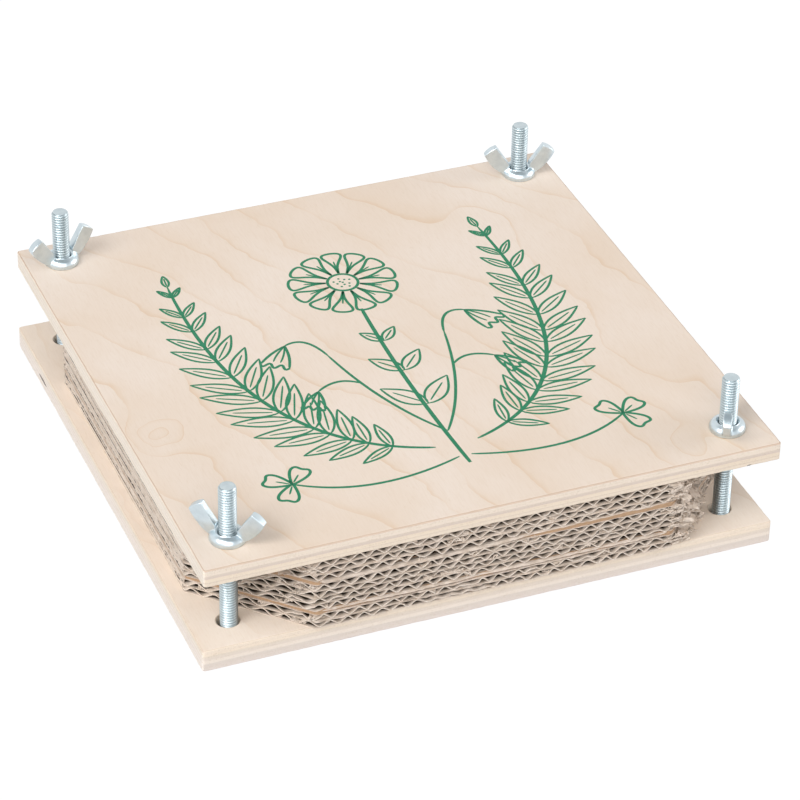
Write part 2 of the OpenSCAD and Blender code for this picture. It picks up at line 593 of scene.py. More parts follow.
    def paint(self, tree: Tree, place: Socket) -> dict[str, Any]:
        """Lays warm clouds, ring lines, fibres and flecks over the pale wood.

        Args:
            tree: The material's node tree.
            place: Place on the object in millimetres.

        Returns:
            What the shader's inputs get.
        """
        cloud = add_node(
            tree,
            "ShaderNodeMapRange",
            {0: grain(tree, place, self.cloud_size, 4.0), 1: 0.38, 2: 0.66, 3: 0.0, 4: 0.8},
        )
        ground = add_node(
            tree, "ShaderNodeMix", {0: cloud, 6: self.pale, 7: self.warm}, data_type="RGBA"
        ).outputs[2]
        ringed = add_node(
            tree,
            "ShaderNodeMix",
            {0: self.ring_lines(tree, place), 6: ground, 7: self.ring},
            data_type="RGBA",
        ).outputs[2]
        fibres = grain(tree, place, self.fibre_size, 3.0)
        streak = add_node(tree, "ShaderNodeMapRange", {0: fibres, 1: 0.45, 2: 0.75, 3: 0.0, 4: 0.26})
        flecks = grain(tree, place, self.fleck_size, 1.0)
        pore = add_node(tree, "ShaderNodeMapRange", {0: flecks, 1: 0.62, 2: 0.8, 3: 0.0, 4: 0.36})
        marks = add_node(tree, "ShaderNodeMath", {0: streak, 1: pore}, operation="MAXIMUM")
        wood = add_node(
            tree, "ShaderNodeMix", {0: marks, 6: ringed, 7: self.fibre}, data_type="RGBA"
        ).outputs[2]
        bump = add_node(
            tree, "ShaderNodeBump", {"Strength": 0.3, "Distance": self.relief * MM, "Height": fibres}
        )
        return {"Base Color": wood, "Roughness": self.roughness, "Normal": bump}


@dataclass(frozen=True)
class CoreGap:
    """A short open gap in a plywood edge, as an ellipsoid over which shade is painted."""

    place: Triple
    reach: Triple


@dataclass(frozen=True)
class PlywoodEdge(Finish):
    """Sawn and sanded edge of birch plywood.

    The eye gets soft bands: plies cut along their fibres are smooth cream, and plies cut
    across them are greyer and speckled with open pores. The upper arris is a fuzzy tan
    line, and an open gap in a core ply gets a painted shade.
    """

    name: str
    base: float
    thickness: float
    front_bands: tuple[tuple[float, str], ...]
    side_bands: tuple[tuple[float, str], ...]
    gaps: tuple[CoreGap, ...] = ()
    # Painted shade of an open gap.
    gap_painted_shade: str = "#5B4A40"
    waver: float = 0.035
    waver_size: Triple = (11.0, 11.0, 5.0)
    gap_burr_size: Triple = (0.5, 1.2, 0.4)
    streak_size: Triple = (9.0, 9.0, 0.22)
    pore_size: Triple = (0.45, 0.45, 0.5)
    pore: str = "#C9B49C"
    relief: float = 0.03
    roughness: float = 0.68

    def paint(self, tree: Tree, place: Socket) -> dict[str, Any]:
        """Bands by height, one set for front and back and one for the two sides.

        Args:
            tree: The material's node tree.
            place: Place on the object in millimetres.

        Returns:
            What the shader's inputs get.
        """
        height = add_node(tree, "ShaderNodeSeparateXYZ", {0: place}).outputs[2]
        share = add_node(
            tree,
            "ShaderNodeMapRange",
            {0: height, 1: self.base, 2: self.base + self.thickness, 3: 0.0, 4: 1.0},
        ).outputs[0]
        waver = grain(tree, place, self.waver_size, 3.0)
        moved = add_node(
            tree, "ShaderNodeMath", {0: waver, 1: self.waver, 2: share}, operation="MULTIPLY_ADD"
        ).outputs[0]
        centred = add_node(tree, "ShaderNodeMath", {0: moved, 1: -self.waver / 2}).outputs[0]
        front = set_stops(add_node(tree, "ShaderNodeValToRGB", {0: centred}), self.front_bands)
        side = set_stops(add_node(tree, "ShaderNodeValToRGB", {0: centred}), self.side_bands)
        normal = add_node(tree, "ShaderNodeNewGeometry").outputs["Normal"]
        facing = add_node(tree, "ShaderNodeSeparateXYZ", {0: normal}).outputs[0]
        sideways = add_node(tree, "ShaderNodeMath", {0: facing}, operation="ABSOLUTE").outputs[0]
        turn = add_node(tree, "ShaderNodeMapRange", {0: sideways, 1: 0.6, 2: 0.8}).outputs[0]
        bands = add_node(
            tree, "ShaderNodeMix", {0: turn, 6: front, 7: side}, data_type="RGBA"
        ).outputs[2]
        streaks = grain(tree, place, self.streak_size, 3.0)
        pores = grain(tree, place, self.pore_size, 1.0)
        deep = add_node(tree, "ShaderNodeMath", {0: streaks, 1: pores}, operation="MULTIPLY").outputs[0]
        mark = add_node(tree, "ShaderNodeMapRange", {0: deep, 1: 0.26, 2: 0.5, 3: 0.0, 4: 0.55})
        wood = add_node(
            tree, "ShaderNodeMix", {0: mark, 6: bands, 7: self.pore}, data_type="RGBA"
        ).outputs[2]
        for gap in self.gaps:
            wood = self.paint_gap_shade(tree, place, gap, wood)
        bump = add_node(
            tree, "ShaderNodeBump", {"Strength": 0.5, "Distance": self.relief * MM, "Height": deep}
        )
        return {"Base Color": wood, "Roughness": self.roughness, "Normal": bump}

    def paint_gap_shade(self, tree: Tree, place: Socket, gap: CoreGap, wood: Socket) -> Socket:
        """Paints shade over the wood inside a gap, whose border is ragged by noise.

        Args:
            tree: The material's node tree.
            place: Place on the object in millimetres.
            gap: The gap.
            wood: Colour of the wood round it.

        Returns:
            The colour with the gap.
        """
        away = add_node(tree, "ShaderNodeVectorMath", {0: place, 1: gap.place}, operation="SUBTRACT")
        unit = tuple(1 / reach for reach in gap.reach)
        scaled = add_node(tree, "ShaderNodeVectorMath", {0: away, 1: unit}, operation="MULTIPLY")
        far = add_node(tree, "ShaderNodeVectorMath", {0: scaled}, operation="LENGTH").outputs["Value"]
        ragged = add_node(
            tree,
            "ShaderNodeMath",
            {0: grain(tree, place, self.gap_burr_size), 1: 0.9, 2: far},
            operation="MULTIPLY_ADD",
        )
        # Painted shade: how far inside the gap each place lies.
        inside = add_node(tree, "ShaderNodeMapRange", {0: ragged, 1: 1.2, 2: 1.6, 3: 0.9, 4: 0.0})
        return add_node(
            tree, "ShaderNodeMix", {0: inside, 6: wood, 7: self.gap_painted_shade}, data_type="RGBA"
        ).outputs[2]


@dataclass(frozen=True)
class ZincPlate(Finish):
    """Bright zinc plate over steel, passivated blue.

    The eye gets a cool bluish white metal with soft reflections, a little cloudy where the
    plating bath left it uneven. A thread's roots carry a painted shade, a darker blue grey.
    The pressed nuts are a little lighter and smoother than the rolled bolts.
    """

    name: str
    tone: str
    cloudy: str
    roughness: float
    unevenness: float
    dimple: float
    # Painted shade in a thread's roots.
    root: str = "#98A6AB"
    attribute: str = "tint"
    cloud_size: Triple = (3.2, 3.2, 3.2)
    pit_size: Triple = (0.55, 0.55, 0.55)

    def paint(self, tree: Tree, place: Socket) -> dict[str, Any]:
        """Clouds the tone and the roughness, and dimples the surface.

        Args:
            tree: The material's node tree.
            place: Place on the object in millimetres.

        Returns:
            What the shader's inputs get.
        """
        clouds = grain(tree, place, self.cloud_size, 3.0)
        share = add_node(tree, "ShaderNodeMapRange", {0: clouds, 1: 0.35, 2: 0.68})
        tone = add_node(
            tree, "ShaderNodeMix", {0: share, 6: self.tone, 7: self.cloudy}, data_type="RGBA"
        ).outputs[2]
        # Painted shade: the tint attribute mixes the metal towards the root colour in a thread's roots.
        deep = add_node(tree, "ShaderNodeAttribute", attribute_name=self.attribute).outputs["Fac"]
        metal = add_node(tree, "ShaderNodeMix", {0: deep, 6: tone, 7: self.root}, data_type="RGBA")
        rough = add_node(
            tree,
            "ShaderNodeMapRange",
            {
                0: clouds,
                1: 0.3,
                2: 0.7,
                3: self.roughness - self.unevenness,
                4: self.roughness + self.unevenness,
            },
        )
        pits = grain(tree, place, self.pit_size)
        bump = add_node(
            tree, "ShaderNodeBump", {"Strength": 0.4, "Distance": self.dimple * MM, "Height": pits}
        )
        return {
            "Base Color": metal.outputs[2],
            "Metallic": 1.0,
            "Roughness": rough,
            "Normal": bump,
        }


@dataclass(frozen=True)
class GreyBoard(Finish):
    """Corrugated board of recycled grey-brown paper, cut with a blade.

    The eye gets a matt mottled grey-brown and a lighter, fuzzy line wherever the paper is
    cut through. A painted shade darkens the paper a few millimetres inside each flute. The
    fibres are drawn 0.3 mm long and wide, coarser than real ones, which would not show.
    """

    name: str = "blade_cut_corrugated_board"
    paper: str = "#E2D4C7"
    stained: str = "#CBBAA9"
    # Painted shade deep inside the flutes.
    deep: str = "#36291F"
    cut_light: str = "#F4EADF"
    cut_dark: str = "#CBB9A8"
    attribute: str = "tint"
    mottle_size: Triple = (2.6, 2.6, 1.6)
    fibre_size: Triple = (0.3, 0.3, 0.3)
    relief: float = 0.08
    roughness: float = 0.9
    gloss: float = 0.25

    def paint(self, tree: Tree, place: Socket) -> dict[str, Any]:
        """Mottles the paper, and lightens the faces whose attribute says that they are cut.

        Args:
            tree: The material's node tree.
            place: Place on the object in millimetres.

        Returns:
            What the shader's inputs get.
        """
        mottle = grain(tree, place, self.mottle_size, 4.0)
        fibres = grain(tree, place, self.fibre_size)
        patch = add_node(tree, "ShaderNodeMapRange", {0: mottle, 1: 0.36, 2: 0.66})
        speck = add_node(tree, "ShaderNodeMapRange", {0: fibres, 1: 0.35, 2: 0.65})
        paper = add_node(
            tree, "ShaderNodeMix", {0: patch, 6: self.paper, 7: self.stained}, data_type="RGBA"
        ).outputs[2]
        edge = add_node(
            tree, "ShaderNodeMix", {0: speck, 6: self.cut_light, 7: self.cut_dark}, data_type="RGBA"
        ).outputs[2]
        cut = add_node(tree, "ShaderNodeAttribute", attribute_name=self.attribute).outputs["Fac"]
        both = add_node(tree, "ShaderNodeMix", {0: cut, 6: paper, 7: edge}, data_type="RGBA")
        # Painted shade: faces whose tint is below 0, deep in a flute, turn towards the dark colour.
        inside = add_node(tree, "ShaderNodeMapRange", {0: cut, 1: 0.0, 2: -1.0})
        shaded = add_node(
            tree, "ShaderNodeMix", {0: inside, 6: both.outputs[2], 7: self.deep}, data_type="RGBA"
        )
        bump = add_node(
            tree, "ShaderNodeBump", {"Strength": 0.6, "Distance": self.relief * MM, "Height": fibres}
        )
        return {
            "Base Color": shaded.outputs[2],
            "Roughness": self.roughness,
            "Specular IOR Level": self.gloss,
            "Normal": bump,
        }


@dataclass(frozen=True)
class BlottingCard(Finish):
    """Thick unsized card that soaks up the plants' moisture.

    The eye gets a warm brown, felted surface, and fine level layers in its cut edge. Its name
    differs from that of the CAD file's own material, which would be handed out otherwise.
    """

    name: str = "felted_blotting_card"
    brown: str = "#BE9C7D"
    dark: str = "#AE8D6E"
    layer_size: Triple = (14.0, 14.0, 0.2)
    felt_size: Triple = (0.8, 0.8, 0.8)
    relief: float = 0.05
    roughness: float = 0.75

    def paint(self, tree: Tree, place: Socket) -> dict[str, Any]:
        """Level layers and felt specks in two browns.

        Args:
            tree: The material's node tree.
            place: Place on the object in millimetres.

        Returns:
            What the shader's inputs get.
        """
        layers = grain(tree, place, self.layer_size)
        felt = grain(tree, place, self.felt_size, 3.0)
        mean = add_node(tree, "ShaderNodeMath", {0: layers, 1: felt}, operation="MULTIPLY")
        share = add_node(tree, "ShaderNodeMapRange", {0: mean, 1: 0.14, 2: 0.38})
        tone = add_node(
            tree, "ShaderNodeMix", {0: share, 6: self.brown, 7: self.dark}, data_type="RGBA"
        )
        bump = add_node(
            tree, "ShaderNodeBump", {"Strength": 0.5, "Distance": self.relief * MM, "Height": felt}
        )
        return {"Base Color": tone.outputs[2], "Roughness": self.roughness, "Normal": bump}


@dataclass(frozen=True)
class ScreenInk(Finish):
    """Water-based screen-print ink, pressed through a mesh on bare wood.

    The eye gets a flat leaf green that is a little thinner over the wood's pores.
    """

    name: str = "screen_print_ink"
    green: str = "#107A52"
    thin: str = "#2D8663"
    spot_size: Triple = (0.5, 1.6, 1.0)
    roughness: float = 0.55

    def paint(self, tree: Tree, place: Socket) -> dict[str, Any]:
        """Green with thin spots that are longer from front to back, as the pores are.

        Args:
            tree: The material's node tree.
            place: Place on the object in millimetres.

        Returns:
            What the shader's inputs get.
        """
        spots = grain(tree, place, self.spot_size)
        share = add_node(tree, "ShaderNodeMapRange", {0: spots, 1: 0.48, 2: 0.72, 3: 0.0, 4: 0.8})
        tone = add_node(
            tree, "ShaderNodeMix", {0: share, 6: self.green, 7: self.thin}, data_type="RGBA"
        )
        return {"Base Color": tone.outputs[2], "Roughness": self.roughness}


TOP_EDGE = PlywoodEdge(
    name="sawn_birch_plywood_top",
    base=34.1,
    thickness=6.5,
    front_bands=(
        (0.00, "#E9D9C5"), (0.04, "#F1E1CE"), (0.19, "#EFDFCC"), (0.24, "#E3D1BF"),
        (0.29, "#F0E0CC"), (0.45, "#EFDECA"), (0.50, "#DDCBBE"), (0.63, "#E2D3C4"),
        (0.68, "#F1E2D3"), (0.86, "#F0E2D1"), (0.90, "#F5E7D9"), (0.95, "#DCC6B4"),
        (1.00, "#C9AE98"),
    ),
    side_bands=(
        (0.00, "#F3E5D3"), (0.08, "#F8EDDF"), (0.22, "#F6EADB"), (0.27, "#EEDDCA"),
        (0.31, "#F8EDE0"), (0.47, "#F7ECDF"), (0.52, "#F1E3D3"), (0.57, "#F8EDE0"),
        (0.72, "#F7EBDD"), (0.77, "#F0DFCC"), (0.82, "#F9EFE2"), (0.93, "#F6E9D9"),
        (1.00, "#F0E0CE"),
    ),
    gaps=(CoreGap((88.8, -100.6, 34.3), (0.8, 1.2, 0.5)),),
)

BOTTOM_EDGE = PlywoodEdge(
    name="sawn_birch_plywood_bottom",
    base=0.0,
    thickness=8.0,
    front_bands=(
        (0.00, "#DED0C8"), (0.05, "#EBDED7"), (0.11, "#E3D7CE"), (0.34, "#E2D6CC"),
        (0.39, "#F1E5D9"), (0.51, "#F1E4D7"), (0.55, "#E7D9CC"), (0.70, "#E8DACA"),
        (0.76, "#F4E4D1"), (0.92, "#F4E4D2"), (0.965, "#ECDBC9"), (1.00, "#E4D1BE"),
    ),
    side_bands=(
        (0.00, "#F2E6DC"), (0.06, "#F8EEE6"), (0.19, "#F6EBE2"), (0.23, "#EFDFD0"),
        (0.27, "#F8EEE6"), (0.40, "#F7ECE3"), (0.45, "#F0E1D3"), (0.49, "#F8EEE5"),
        (0.60, "#F6EADF"), (0.65, "#EFDFCE"), (0.69, "#F8EDE2"), (0.80, "#F6EADC"),
        (0.85, "#EEDCC7"), (0.90, "#F7ECDE"), (1.00, "#E6D0B8"),
    ),
    gaps=(CoreGap((-100.2, 71.5, 3.4), (1.5, 4.6, 0.62)),),
)

TOP_VENEER = BirchVeneer()
# Painted light: the bottom board's veneer is paler, to make up for the shade of the top board over it.
BOTTOM_VENEER = BirchVeneer(
    name="birch_veneer_painted_lighter", pale="#F9ECDE", warm="#F3E2D0", fibre="#E6D2BB", line=0.14, halo=0.1
)
BOARD_PAPER = GreyBoard()
CARD = BlottingCard()
INK = ScreenInk()
BOLT_ZINC = ZincPlate("rolled_zinc_bolt", "#D0DBDF", "#C3CFD4", 0.38, 0.05, 0.004)
NUT_ZINC = ZincPlate("pressed_zinc_nut", "#D7E2E7", "#CAD6DC", 0.31, 0.03, 0.003)


# Sub-assemblies


class Corner(Enum):
    """The press's four corners, by the names that its bolts and nuts carry."""

    FRONT_LEFT = "front_left"
    FRONT_RIGHT = "front_right"
    BACK_LEFT = "back_left"
    BACK_RIGHT = "back_right"


@dataclass
class Board:
    """One plywood board, with its rounded corners, eased edges and four bolt holes."""

    node: str
    body: str
    veneer: BirchVeneer
    edge: PlywoodEdge
    recess_depth: float = 0.0
    corner_r: float = 1.0
    arris: float = 0.35
    arris_chips: float = 0.14
    hole_r: float = 3.85
    hole_arris: float = 0.3
    recess_r: float = 7.8
    bolt_inset: float = 13.0
    side_columns: int = 90
    corner_columns: int = 9
    arris_rows: int = 4
    edge_rows: int = 25
    hole_columns: int = 64
    plies: int = 5
    glue_groove: float = 0.05
    glue_share: float = 0.06
    column_step: float = 2.2
    chip_size: Pair = (1.7, 0.6)
    chip_reach: float = 0.5
    saw_size: Pair = (2.0, 0.4)
    saw_mark: float = 0.02
    seed: int = 11

    def __post_init__(self) -> None:
        """Takes the board's size and place from its CAD node."""
        self.low, self.high = box_mm(self.node)
        self.centre = (self.low + self.high) / 2
        self.shell = Shell()

    def rim_path(self) -> tuple[Array, Array]:
        """Runs round the board, anticlockwise from above.

        Each side is a straight run of points with one normal. Each corner stays on the
        centre of its quarter circle while the normal turns by 90 degrees.

        Returns:
            The core points and the outward normals, both in the plane.
        """
        half = (self.high[0] - self.low[0]) / 2 - self.corner_r
        run = np.linspace(-half, half, self.side_columns, endpoint=False)
        turn = np.radians(np.linspace(-90, 0, self.corner_columns, endpoint=False))
        side = np.stack([run, np.full_like(run, -half)], axis=1)
        corner = np.tile([half, -half], (self.corner_columns, 1))
        points = np.vstack([side, corner])
        normals = np.vstack(
            [np.tile([0.0, -1.0], (len(run), 1)), np.stack([np.cos(turn), np.sin(turn)], axis=1)]
        )
        turns = [np.array([[c, -s], [s, c]]) for c, s in ((1, 0), (0, 1), (-1, 0), (0, -1))]
        core = np.vstack([points @ t.T for t in turns]) + self.centre[:2]
        return core, np.vstack([normals @ t.T for t in turns])

    def edge_profile(self) -> tuple[Array, Array]:
        """Goes up the edge: a quarter circle, the straight edge, and a quarter circle.

        Returns:
            Inset from the full width, and height, at each row.
        """
        bend = np.radians(np.linspace(0, 90, self.arris_rows, endpoint=False))
        inset = self.arris * (1 - np.sin(bend))
        rise = self.arris * (1 - np.cos(bend))
        middle = np.linspace(self.low[2] + self.arris, self.high[2] - self.arris, self.edge_rows)
        heights = np.concatenate([self.low[2] + rise, middle, (self.high[2] - rise)[::-1]])
        return np.concatenate([inset, np.zeros_like(middle), inset[::-1]]), heights

    def add_rim(self) -> Array:
        """Makes the edge all round, with its glue lines a hair below the plies.

        A point lies at core + (corner radius - inset) * normal. The inset is the profile's,
        plus chips times e^-(distance / reach)^2 at the two arrises, plus a groove of that
        same form where the height is a whole ply, plus the saw's marks.

        Returns:
            The grid of points.
        """
        core, normals = self.rim_path()
        inset, heights = self.edge_profile()
        noise = Wander(self.seed)
        along, level = np.arange(len(core))[:, None] * self.column_step, heights[None, :]
        chips = np.clip(noise.field(along, level, *self.chip_size), 0, 1) * self.arris_chips
        ends = self.low[2], self.high[2]
        near = sum(np.exp(-(((heights - end) / self.chip_reach) ** 2)) for end in ends)
        ply = (heights - self.low[2]) / (self.high[2] - self.low[2]) * self.plies
        glue = np.exp(-((ply - np.round(ply)) / self.glue_share) ** 2) * self.glue_groove
        saw = self.saw_mark * noise.field(along, level, *self.saw_size)
        uneven = 1 + 0.5 * saw / self.saw_mark
        depth = inset[None, :] + chips * near + glue * uneven + np.abs(saw)
        reach = self.corner_r - depth
        flat = core[:, None, :] + reach[..., None] * normals[:, None, :]
        tall = np.broadcast_to(heights[None, :, None], (*flat.shape[:2], 1))
        rim = np.concatenate([flat, tall], axis=2)
        self.shell.grid(rim, close_u=True, material=1)
        return rim

    def hole_profile(self) -> Array:
        """Goes down a bolt hole from the top face: an eased rim, the bore, and any recess.

        Returns:
            Radius and height of each ring.
        """
        top, low, ease = self.high[2], self.low[2], self.hole_arris
        rows = [(self.hole_r + ease, top), (self.hole_r + ease / 4, top - ease / 4)]
        rows.append((self.hole_r, top - ease))
        if self.recess_depth:
            ceiling = low + self.recess_depth
            rows += [(self.hole_r, ceiling), (self.recess_r, ceiling)]
            rows += [(self.recess_r, low + ease), (self.recess_r + ease, low)]
        else:
            rows += [(self.hole_r, low + ease), (self.hole_r + ease, low)]
        return np.array(rows)

    def add_holes(self) -> list[Array]:
        """Turns the hole's profile round each bolt's place.

        Returns:
            The grid of each hole.
        """
        angle = np.linspace(0, 2 * np.pi, self.hole_columns, endpoint=False)
        profile = self.hole_profile()
        grids = []
        for sx, sy in SQUARE:
            reach = (self.high[:2] - self.low[:2]) / 2 - self.bolt_inset
            x = self.centre[0] + sx * reach[0] + np.outer(np.cos(angle), profile[:, 0])
            y = self.centre[1] + sy * reach[1] + np.outer(np.sin(angle), profile[:, 0])
            grids.append(surface(x, y, np.broadcast_to(profile[:, 1], x.shape)))
            self.shell.grid(grids[-1], close_u=True, material=1)
        return grids

    def add_face(self, loops: list[Array], up: bool) -> None:
        """Fills a flat face between the rim and the holes with triangles.

        Args:
            loops: The rim's loop and then the holes' loops.
            up: Whether the face looks up.
        """
        points = np.vstack(loops)
        faces = np.array(tessellate_polygon([[Vector(p) for p in loop] for loop in loops]))
        a, b, c = points[faces[:, 0]], points[faces[:, 1]], points[faces[:, 2]]
        wrong = (np.cross(b - a, c - a)[:, 2] > 0) != up
        faces[wrong] = faces[wrong][:, ::-1]
        self.shell.add(points, faces)

    def build(self) -> bpy.types.Object:
        """Makes the whole board as one closed piece.

        Returns:
            The piece.
        """
        rim = self.add_rim()
        holes = self.add_holes()
        self.add_face([rim[:, -1]] + [hole[:, 0] for hole in holes], up=True)
        self.add_face([rim[:, 0]] + [hole[:, -1] for hole in holes], up=False)
        piece = self.shell.piece(f"{self.node}_plywood", [self.veneer, self.edge], 40.0, merge=0.001)
        slots = np.empty(len(piece.data.polygons), np.int32)
        piece.data.polygons.foreach_get("material_index", slots)
        piece.data.polygons.foreach_set("use_smooth", slots == 1)
        stand_for(piece, self.node, self.body)
        return piece


@dataclass
class Bolt:
    """A bolt that is threaded over its whole length, with a flat socket head."""

    corner: Corner
    pitch: float = 1.0
    major_r: float = 2.97
    minor_r: float = 2.42
    thread_shares: tuple[float, ...] = (0.00, 0.10, 0.20, 0.34, 0.48, 0.58, 0.70, 0.86)
    thread_ease: float = 0.06
    # Painted shade for each sample of the thread's profile, strongest in the root.
    root_shade_tints: tuple[float, ...] = (0.0, 0.0, 0.15, 0.6, 1.0, 1.0, 0.6, 0.1)
    end_r: float = 2.45
    end_slope: float = 1.0
    end_dish: float = 0.04
    dish_share: float = 0.72
    columns: int = 48
    head_t: float = 1.8
    head_ease: float = 0.4
    head_overlap: float = 0.2
    chamfer: float = 0.15
    pole_r: float = 0.001
    socket_w: float = 4.0
    socket_h: float = 1.5
    socket_dip: float = 0.2

    def __post_init__(self) -> None:
        """Takes the bolt's place and length from its CAD node."""
        self.node = f"bolt_{self.corner.value}"
        low, high = box_mm(self.node)
        self.low, self.high = low[2], high[2]
        self.axis = (low + high) / 2
        self.head_r = (high[0] - low[0]) / 2
        self.shell = Shell()

    def thread_radii(self) -> Array:
        """Radii of a rolled thread's rounded trapezoid, one for each share of the pitch."""
        crest, root, ease = self.major_r, self.minor_r, self.thread_ease
        middle = (crest + root) / 2
        return np.array([crest, crest, crest - ease, middle, root + ease, root, root + ease, middle])

    def add_thread(self) -> None:
        """Winds the profile up the bolt, and closes both ends.

        Row m is the profile's sample m, and column i is the angle 2 pi i / n. Its height is
        the sample's height plus the pitch times i / n, so that a row climbs one pitch in a
        turn and meets the row one pitch higher at the seam. Past either end it stays at the
        end's height. The radius is the profile's, but no more than the end's cone allows.
        """
        shares, radii = np.array(self.thread_shares), self.thread_radii()
        low, high = self.low + self.head_t - self.head_overlap, self.high
        turns = int(math.ceil((high - low) / self.pitch)) + 2
        heights = (np.arange(turns)[:, None] + shares[None, :]).ravel() * self.pitch - self.pitch
        rows, per_turn, n = len(heights), len(shares), self.columns
        angle = 2 * np.pi * np.arange(n) / n
        z = low + heights[:, None] + self.pitch * np.arange(n)[None, :] / n
        z = np.clip(z, low, high)
        cone = self.end_r + self.end_slope * np.minimum(z - low, high - z)
        r = np.minimum(np.tile(radii, turns)[:, None], cone)
        x = self.axis[0] + r * np.cos(angle)
        y = self.axis[1] + r * np.sin(angle)
        number = np.arange(rows * n).reshape(rows, n)
        last = rows - per_turn
        wrapped = np.hstack([number[:last], number[per_turn:, :1]])
        corners = wrapped[:-1, :-1], wrapped[:-1, 1:], wrapped[1:, 1:], wrapped[1:, :-1]
        # Painted shade, row by row, in the thread's roots.
        shade_of_row = np.tile(self.root_shade_tints, turns)[:last - 1]
        self.shell.add(
            surface(x, y, z), np.stack(corners, axis=-1).reshape(-1, 4), tint=np.repeat(shade_of_row, n)
        )
        self.add_cap(low, angle, up=False)
        self.add_cap(high, angle, up=True)

    def add_cap(self, height: float, angle: Array, up: bool) -> None:
        """Closes an end with a slightly dished fan.

        Args:
            height: Height of the end.
            angle: The angles of the thread's columns.
            up: Whether the end looks up.
        """
        n = len(angle)
        ring = np.stack([np.cos(angle), np.sin(angle), np.zeros(n)], axis=1) * self.end_r
        dish = self.end_dish if up else 0.0
        centre = np.array([self.axis[0], self.axis[1], height])
        inner = ring * self.dish_share - [0, 0, dish]
        points = np.vstack([ring, inner, [[0, 0, -dish]]]) + centre
        i, j = np.arange(n), (np.arange(n) + 1) % n
        band = np.stack([i, j, j + n, i + n], axis=1)
        fan = np.stack([i + n, j + n, np.full(n, 2 * n)], axis=1)
        step = 1 if up else -1
        self.shell.add(points, band[:, ::step])
        self.shell.join(fan[:, ::step] + self.shell.count - len(points))

    def add_head(self) -> None:
        """Turns the head's profile, whose first rings are the socket's hexagon.

        A hexagon ring's radius is half the width over the cosine of the angle from the
        middle of the nearest flat.
        """
        n = self.columns * 3
        angle = 2 * np.pi * np.arange(n) / n
        flat = self.socket_w / 2 / np.cos((angle + np.pi / 6) % (np.pi / 3) - np.pi / 6)
        low, top = self.low, self.low + self.head_t
        rim, ease, chamfer = self.head_r, self.head_ease, self.chamfer
        rings = [
            (np.full(n, self.pole_r), low + self.socket_h + self.socket_dip),
            (flat, low + self.socket_h),
            (flat, low + chamfer),
            (flat + chamfer, low),
            (np.full(n, rim - ease), low),
            (np.full(n, rim - ease * 0.3), low + ease * 0.3),
            (np.full(n, rim), low + ease),
            (np.full(n, rim), top - chamfer),
            (np.full(n, rim - chamfer), top),
            (np.full(n, self.pole_r), top),
        ]
        radius = np.stack([r for r, _ in rings], axis=1)
        height = np.broadcast_to(np.array([z for _, z in rings]), radius.shape)
        x = self.axis[0] + radius * np.cos(angle)[:, None]
        y = self.axis[1] + radius * np.sin(angle)[:, None]
        self.shell.grid(surface(x, y, height), close_u=True)

    def build(self) -> bpy.types.Object:
        """Makes the threaded shank and the head as one piece.

        Returns:
            The piece.
        """
        self.add_thread()
        self.add_head()
        piece = self.shell.piece(f"{self.node}_threaded", [BOLT_ZINC], 40.0, merge=0.004)
        stand_for(piece, self.node, "root")
        return piece


